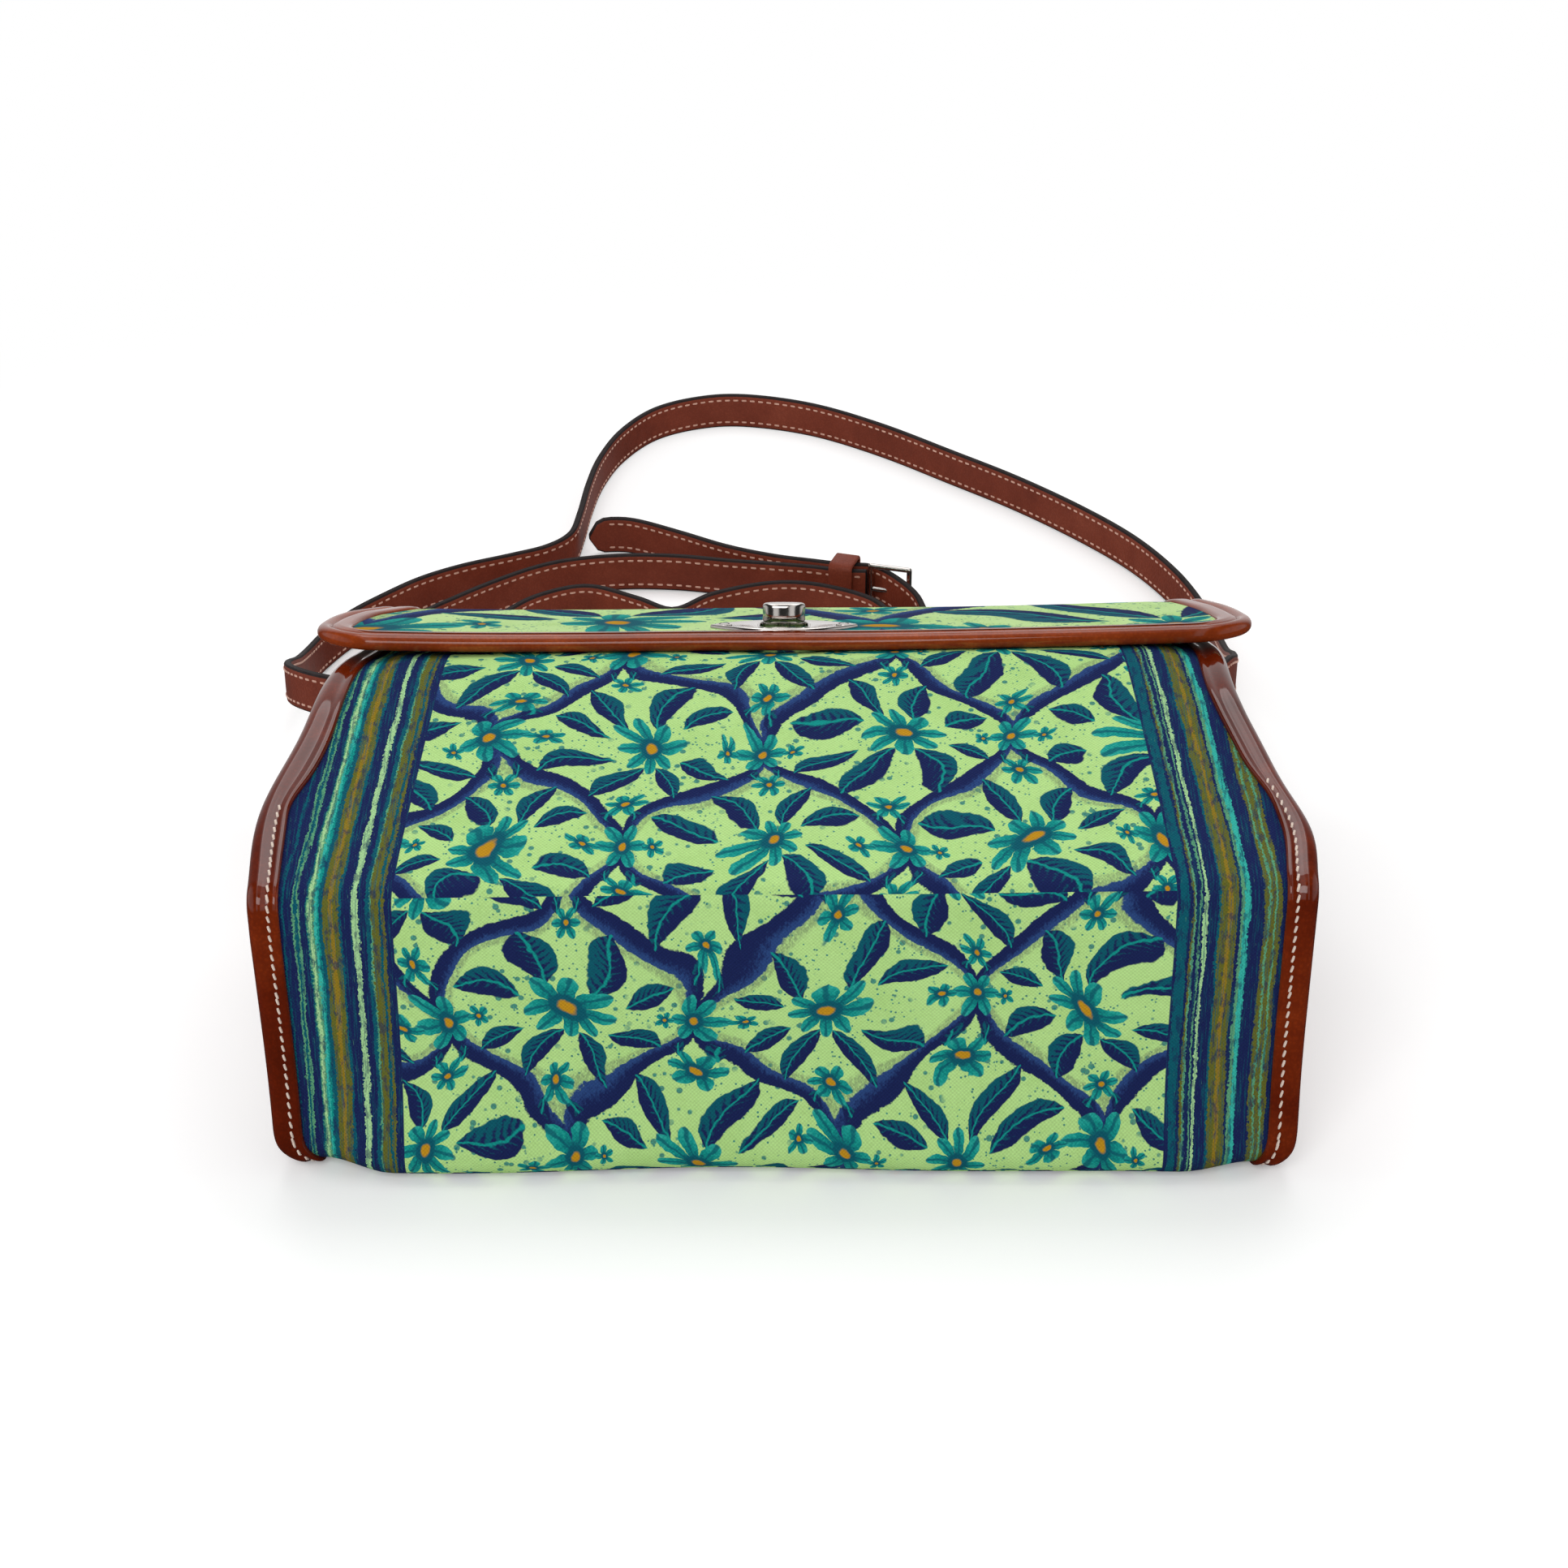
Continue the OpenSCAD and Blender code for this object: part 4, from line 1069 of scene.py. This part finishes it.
def patch(name, node, side):
    top = FOLD_Z - 20
    corners = [(PATCH_Y - 16, 5, 5), (PATCH_Y + 6, 5, 5), (PATCH_Y + 6, top, 8), (PATCH_Y - 16, top, 5)]
    rings = []
    for d, a in PATCH_RINGS:
        rings.append([(side * (half_w(q[0]) + a), q[0], q[1]) for q in rounded(corners, d, 10)])
    verts, faces = rings_mesh(rings)
    if side < 0:
        faces = [f[::-1] for f in faces]
    attach(make(name, verts, faces, [strap_mat], angle=50), "bag", node)
    line = rounded(corners, PATCH_STITCH, 10)
    line = np.vstack([line, line[:1]])
    total = arc_len(line)[-1]
    spots = []
    for d in np.arange(2, total, PATCH_PITCH):
        q, r = at_lengths(line, [d])[0], at_lengths(line, [min(d + 0.5, total)])[0]
        spots.append(((side * (half_w(q[0]) + PATCH_T - 0.2), q[0], q[1]), (0, *(r - q)), (side, 0, 0)))
    th = stitches(name + "_stitches", spots, tan_thread, ln=3.8, wd=0.9, ht=0.5)
    attach(th, "bag")


patch("left_patch", "left_strap_patch", -1)
patch("right_patch", "right_strap_patch", 1)


# Flap cloth: it starts clear of the hinge bead and ends inside the roll of the trim
HINGE_CLEAR, EDGE_IN = 2.6, 2 * ROLL_R + 0.2
CLOTH_EDGE = FLAP_EDGE + EDGE_IN


def flap_line(d):
    """The flap's line at an offset from the side view, from the hinge to the free edge."""
    o = rounded(SIDE, d)
    k = [q for q in o[2 * (STEPS + 1):5 * (STEPS + 1)] if (q - hinge) @ mouth_dir > HINGE_CLEAR]
    start = hinge + HINGE_CLEAR * mouth_dir + mouth_out * (-d - FLAP_GAP - FLAP_T / 2)
    return np.vstack([[start], k])


def cut_at(line, y):
    """The line as far as it comes down to y."""
    k = np.where(line[:, 0] <= y)[0][0]
    a, b = line[k - 1], line[k]
    return np.vstack([line[:k], [a + (b - a) * (a[0] - y) / (a[0] - b[0])]])


top_line = cut_at(flap_line(FLAP_TOP), CLOTH_EDGE)
flap_len = arc_len(top_line)[-1]


def flap_inner_half(y, z, side):
    h = flap_half(y, side) - EDGE_IN
    e = y - CLOTH_EDGE
    r = FLAP_CORNER - EDGE_IN
    if e < r:
        h -= r - math.sqrt(max(0.0, r * r - (r - max(e, 0)) ** 2))
    return h


# The hole under the lock plate: half width, reach to front and back, and half width of the cloth there
HOLE_HALF, HOLE_FRONT, HOLE_BACK, HOLE_AT_HALF = 9.5, 12.5, 4.8, 147.0
hole = (-HOLE_HALF, HOLE_HALF, LOCK_Y - HOLE_FRONT * FALL_COS, LOCK_Y + HOLE_BACK * FALL_COS)
hole_s = [float(np.interp(-y, -top_line[:, 0], arc_len(top_line))) for y in hole[2:]]
flap_close = flap_len - 12
flap_rows = merged([np.linspace(0, flap_close, 60), np.linspace(flap_close, flap_len, 14), hole_s], 4)
flap_ts = merged([np.linspace(-1, 1, 81), [-HOLE_HALF / HOLE_AT_HALF, HOLE_HALF / HOLE_AT_HALF]], 5)


def flap_disp(x, t, s, y):
    near = hump(x / 34) * hump((y - LOCK_Y) / 22)
    edge = min(1.0, (1 - abs(t)) / 0.1) * min(1.0, s / 14, (flap_len - s) / 10)
    return edge * (1 - near) * (0.25 + 0.3 * ripple(x, s, 2.1)) + flap_lift(x, y)


flap = panel("flap_cloth", top_line, flap_inner_half, flap_ts, flap_rows, FLAP_T + FLAP_PAD, flap_disp,
             canvas_flap, hole=hole)
attach(flap, "flap", "flap_panel")


# Flap trim: a border that rolls round a core at the edge
TRIM_STEPS, TRIM_HIGH = 24, ROLL_AT - FLAP_TOP + TRIM_T
# Rows along the sides: close near the hinge, where the sides draw in, and wider towards the front
TRIM_ROWS = ((hinge[0] - 4, 214, -0.7), (214, 196, -1.0))


def trim_section(w):
    """The roll, a groove, and the flat border of width w, as place inwards and height."""
    h = TRIM_HIGH
    roll = [(ROLL_R * math.cos(a), ROLL_R * math.sin(a)) for a in np.radians(np.linspace(-50, -322, 19))]
    return roll + [(3.1, h - 0.35), (3.7, h - 0.3), (4.6, h + 0.05), (5.6, h + 0.12), (w - 2.2, h + 0.1),
                   (w - 0.9, h), (w - 0.2, h - 0.45), (w, h - TRIM_T), (w - 3, h - TRIM_T), (3.2, h - TRIM_T)]


def trim_path():
    """The middle of the roll in plan, from the left end of the hinge round the front to the right end."""
    def edge(y, side):
        return side * (flap_half(y, side) - ROLL_R)

    y1, y0, r = DRAWN_FROM - 5, FLAP_EDGE + ROLL_R, FLAP_CORNER - ROLL_R
    corners = [(edge(y1, -1), y1, 0.5), (edge(y0, -1), y0, r), (edge(y0, 1), y0, r), (edge(y1, 1), y1, 0.5)]
    plan = rounded(corners, 0.0, TRIM_STEPS)
    n = TRIM_STEPS + 1
    left_bend, right_bend = plan[n:2 * n], plan[2 * n:3 * n]
    down = np.concatenate([np.arange(*run) for run in TRIM_ROWS] + [np.arange(196, left_bend[0][1] + 2, -3.0)])
    left = [(edge(y, -1), y) for y in down]
    right = [(edge(y, 1), y) for y in down[::-1]]
    front_part = [(x, y0) for x in np.arange(left_bend[-1][0] + 4, right_bend[0][0] - 2, 4.0)]
    return np.vstack([left, left_bend, front_part, right_bend, right])


def trim():
    mid = flap_line(ROLL_AT)[::-1]
    nrm = -normals(mid)
    path = trim_path()
    t = np.gradient(path, axis=0)
    t /= np.linalg.norm(t, axis=1)[:, None]
    inner = np.stack([-t[:, 1], t[:, 0]], -1)
    rings = []
    for q, way in zip(path, inner):
        w = (TRIM_W - ROLL_R) + (TRIM_FRONT - TRIM_W) * max(0.0, way[1]) ** 2
        out = []
        for i, high in trim_section(w):
            x, y = q[0] + way[0] * i, q[1] + way[1] * i
            high += flap_lift(x, y)
            z, ny, nz = (float(np.interp(y, mid[:, 0], v)) for v in (mid[:, 1], nrm[:, 0], nrm[:, 1]))
            out.append((x, y + ny * high, z + nz * high))
        rings.append(out)
    verts, faces = rings_mesh(rings)
    # The border wears the lighter copy of the gloss leather, which is painted light
    attach(make("flap_border", verts, faces, [gloss_painted_lit], angle=50), "flap", "flap_trim")


trim()


# Lock: sections of the plate's outside and its slot, a screw, the knob and its stem, each as inset, growth or
# radius, and height over the flap, or over the plate for a screw
PLATE_POINTS, SLOT_R, SCREW_IN = 144, 2.5, 5.0
EYE_RINGS = [(0.0, SEAM), (0.0, 0.95), (0.18, 1.3), (0.55, 1.5), (1.1, PLATE_T - 0.05), (2.0, PLATE_T - 0.2)]
SLOT_RINGS = [(1.0, PLATE_T - 0.2), (0.7, PLATE_T + 0.1), (0.3, PLATE_T + 0.15), (0.05, PLATE_T - 0.1),
              (0.0, PLATE_T - 0.5), (0.0, SEAM)]
SCREW_RINGS = [(2.9, -0.4), (2.9, -0.05), (2.6, 0.12), (2.2, 0.1),
               (1.9, -0.25), (1.7, -0.3), (1.5, 0.05), (0.8, 0.2)]
KNOB_FOOT, KNOB_BOW, KNOB_POINTS = PLATE_T + KNOB_GAP, 0.9, 72
KNOB_TOP = KNOB_FOOT + KNOB_H
KNOB_RINGS = [(2.2, KNOB_FOOT), (0.9, KNOB_FOOT), (0.35, KNOB_FOOT + 0.25), (0.0, KNOB_FOOT + 0.9),
              (0.12, KNOB_FOOT + 3.2), (0.0, KNOB_TOP - 1.5), (0.12, KNOB_TOP - 0.8), (0.5, KNOB_TOP - 0.25),
              (1.1, KNOB_TOP), (2.2, KNOB_TOP)]
STEM_FOOT = FLAP_TOP - LEATHER_T - SEAM - CANVAS_T - 1.2 - 3 * SEAM
STEM_RINGS = [(2.6, STEM_FOOT - 0.8), (3.6, STEM_FOOT - 0.6), (4.0, STEM_FOOT - 0.3), (4.0, STEM_FOOT),
              (STEM_R, STEM_FOOT), (STEM_R, KNOB_FOOT + 0.05)]


def eye_r(a, w, h):
    """Radius of the eye shape in the direction a."""
    r = (w * w / 4 + h * h / 4) / h
    s = abs(math.sin(a))
    k = -(r - h / 2)
    return s * k + math.sqrt(max(0.0, (s * k) ** 2 - (k * k - r * r)))


def eye_ring(inset, z):
    out = []
    for k in range(PLATE_POINTS):
        a = 2 * math.pi * k / PLATE_POINTS
        g = eye_r(a, PLATE_W - 2.2 * inset, PLATE_H - 2 * inset)
        out.append(at_lock(g * math.cos(a), g * math.sin(a), z))
    return out


def slot_ring(grow, z):
    """The slot, with its points in the same directions as the eye's."""
    hx, hy, r = SLOT_W / 2 + grow, (SLOT_FRONT + SLOT_BACK) / 2 + grow, SLOT_R + grow
    pts = rounded([(-hx, -hy, r), (hx, -hy, r), (hx, hy, r), (-hx, hy, r)], 0.0, 12)
    pts = pts + np.array([0, (SLOT_BACK - SLOT_FRONT) / 2])
    ang = np.unwrap(np.arctan2(pts[:, 1], pts[:, 0]))
    pts = np.vstack([pts, pts[:1]])
    ang = np.append(ang, ang[0] + 2 * math.pi)
    out = []
    for k in range(PLATE_POINTS):
        a = 2 * math.pi * k / PLATE_POINTS
        while a < ang[0]:
            a += 2 * math.pi
        while a > ang[-1]:
            a -= 2 * math.pi
        out.append(at_lock(float(np.interp(a, ang, pts[:, 0])), float(np.interp(a, ang, pts[:, 1])), z))
    return out


def knob_ring(inset, z):
    out = []
    for k in range(KNOB_POINTS):
        g = 2 * math.pi * (k + 0.5) / KNOB_POINTS
        x, y = (math.copysign(abs(v) ** KNOB_BOW, v) for v in (math.cos(g), math.sin(g)))
        out.append(at_lock((KNOB_W / 2 - inset) * x, (KNOB_D / 2 - inset) * y, z))
    return out


def metal(name, rings, body, node=None, closed=False, angle=35):
    verts, faces = rings_mesh(rings, closed)
    attach(make(name, verts, faces, [nickel_mat], angle=angle), body, node)


def lock():
    face = [eye_ring(*q) for q in EYE_RINGS] + [slot_ring(*q) for q in SLOT_RINGS]
    metal("lock_face", face, "flap", "lock_plate", closed=True)
    for name, x in (("left", SCREW_IN - PLATE_W / 2), ("right", PLATE_W / 2 - SCREW_IN)):
        screw = [[at_lock(x + p, q, PLATE_T + z) for p, q in circle(r, 28)] for r, z in SCREW_RINGS]
        metal("lock_screw_" + name, screw, "flap")
    metal("lock_knob_head", [knob_ring(*q) for q in KNOB_RINGS], "knob", "lock_knob", angle=40)
    stem = [[at_lock(p, q, z) for p, q in circle(r, 36)] for r, z in STEM_RINGS]
    metal("lock_knob_stem", stem, "knob", angle=40)


lock()


# Stage: a pale floor that keeps the shadow, a white surround and soft lights
FLOOR_NEAR, FLOOR_FAR, FLOOR_GLOW = 0.26, 0.8, 0.2
WORLD_DIFFUSE, WORLD_DARK = 0.4, 0.03
STRIP_LEVEL, OVER_LEVEL, FLANK_LEVEL = 0.9, 0.4, 0.7
# The floor's sides and height, just under the part
FLOOR_X, FLOOR_FRONT, FLOOR_BACK, FLOOR_Z_M = 9, -9, 14, -0.0005
# Lamps as place, aim, size, watts and whether they show in the gloss
LAMPS = {"key": ((-0.4, -1.6, 1.4), (0, 0, 0.06), (1.2, 1.0), 16, True),
         "left": ((-1.7, 0.1, 0.9), (0, 0, 0.05), (0.5, 1.2), 6, False),
         "right": ((1.7, 0.1, 0.9), (0, 0, 0.05), (0.5, 1.2), 6, False),
         "top": ((0.0, 1.0, 1.9), (0, 0.0, 0.05), (1.6, 1.2), 15, True)}


def floor():
    """Pale near the part, where it keeps the shadow, and white for the camera further out."""
    t = Tree("floor")
    lp = t.node("ShaderNodeLightPath")
    see = t.most(lp.outputs["Is Camera Ray"], lp.outputs["Is Transmission Ray"])
    away = t.node("ShaderNodeVectorMath", operation="LENGTH")
    t.put(away.inputs[0], t.obj())
    far = t.step(away.outputs["Value"], (FLOOR_NEAR + FLOOR_FAR) / 2, (FLOOR_FAR - FLOOR_NEAR) / 2)
    white = t.node("ShaderNodeEmission")
    near = t.node("ShaderNodeEmission")
    t.put(near.inputs[1], t.mul(see, FLOOR_GLOW))
    both = t.node("ShaderNodeAddShader")
    t.put(both.inputs[0], t.bsdf.outputs[0])
    t.put(both.inputs[1], near.outputs[0])
    mixer = t.node("ShaderNodeMixShader")
    t.put(mixer.inputs[0], t.mul(see, far))
    t.put(mixer.inputs[1], both.outputs[0])
    t.put(mixer.inputs[2], white.outputs[0])
    t.put(t.out.inputs[0], mixer.outputs[0])
    t.done(Base_Color=(0.95, 0.95, 0.95), Roughness=0.9, Specular_IOR_Level=0.1)
    me = bpy.data.meshes.new("floor")
    corners = ((-FLOOR_X, FLOOR_FRONT), (FLOOR_X, FLOOR_FRONT), (FLOOR_X, FLOOR_BACK), (-FLOOR_X, FLOOR_BACK))
    me.from_pydata([(x, y, FLOOR_Z_M) for x, y in corners], [], [(0, 1, 2, 3)])
    me.materials.append(t.mat)
    o = bpy.data.objects.new("floor", me)
    scene.collection.objects.link(o)
    o.visible_glossy = False


def surround():
    """White for the camera. In reflections it is white behind, above and at the flanks, and else dark."""
    w = bpy.data.worlds.new("studio")
    scene.world = w
    w.use_nodes = True
    t = Nodes(w.node_tree)
    lp = t.node("ShaderNodeLightPath")
    seen = t.most(lp.outputs["Is Camera Ray"], lp.outputs["Is Transmission Ray"])
    way = t.node("ShaderNodeSeparateXYZ")
    t.put(way.inputs[0], t.node("ShaderNodeTexCoord").outputs["Generated"])
    back = t.madd(way.outputs[2], 0.2, way.outputs[1])
    off, up = t.size(way.outputs[0]), way.outputs[2]
    strip = t.mul(t.sub(t.step(off, 0.17, 0.04), t.step(off, 0.42, 0.04)), STRIP_LEVEL)
    over = t.mul(t.step(up, 0.92, 0.05), OVER_LEVEL)
    strip = t.most(t.mul(strip, t.step(up, 0.0, 0.08)), over)
    flank = t.mul(t.step(off, 0.8, 0.1), t.step(up, -0.22, 0.12))
    strip = t.most(strip, t.mul(flank, FLANK_LEVEL))
    gloss_level = t.most(strip, t.lerp(t.step(back, 0.8, 0.16), WORLD_DARK, 1.0))
    level = t.lerp(lp.outputs["Is Glossy Ray"], WORLD_DIFFUSE, gloss_level)
    bg = w.node_tree.nodes["Background"]
    bg.inputs[0].default_value = (1, 1, 1, 1)
    t.put(bg.inputs[1], t.lerp(seen, level, 1.0))


def lamp(name, place, aim, size, watts, in_gloss):
    d = bpy.data.lights.new(name, "AREA")
    d.shape = "RECTANGLE"
    d.size, d.size_y = size
    d.energy = watts
    o = bpy.data.objects.new(name, d)
    scene.collection.objects.link(o)
    o.location = place
    o.visible_glossy = in_gloss
    o.rotation_euler = (Vector(aim) - Vector(place)).to_track_quat("-Z", "Y").to_euler()


floor()
surround()
for name, values in LAMPS.items():
    lamp(name, *values)
bpy.context.view_layer.update()
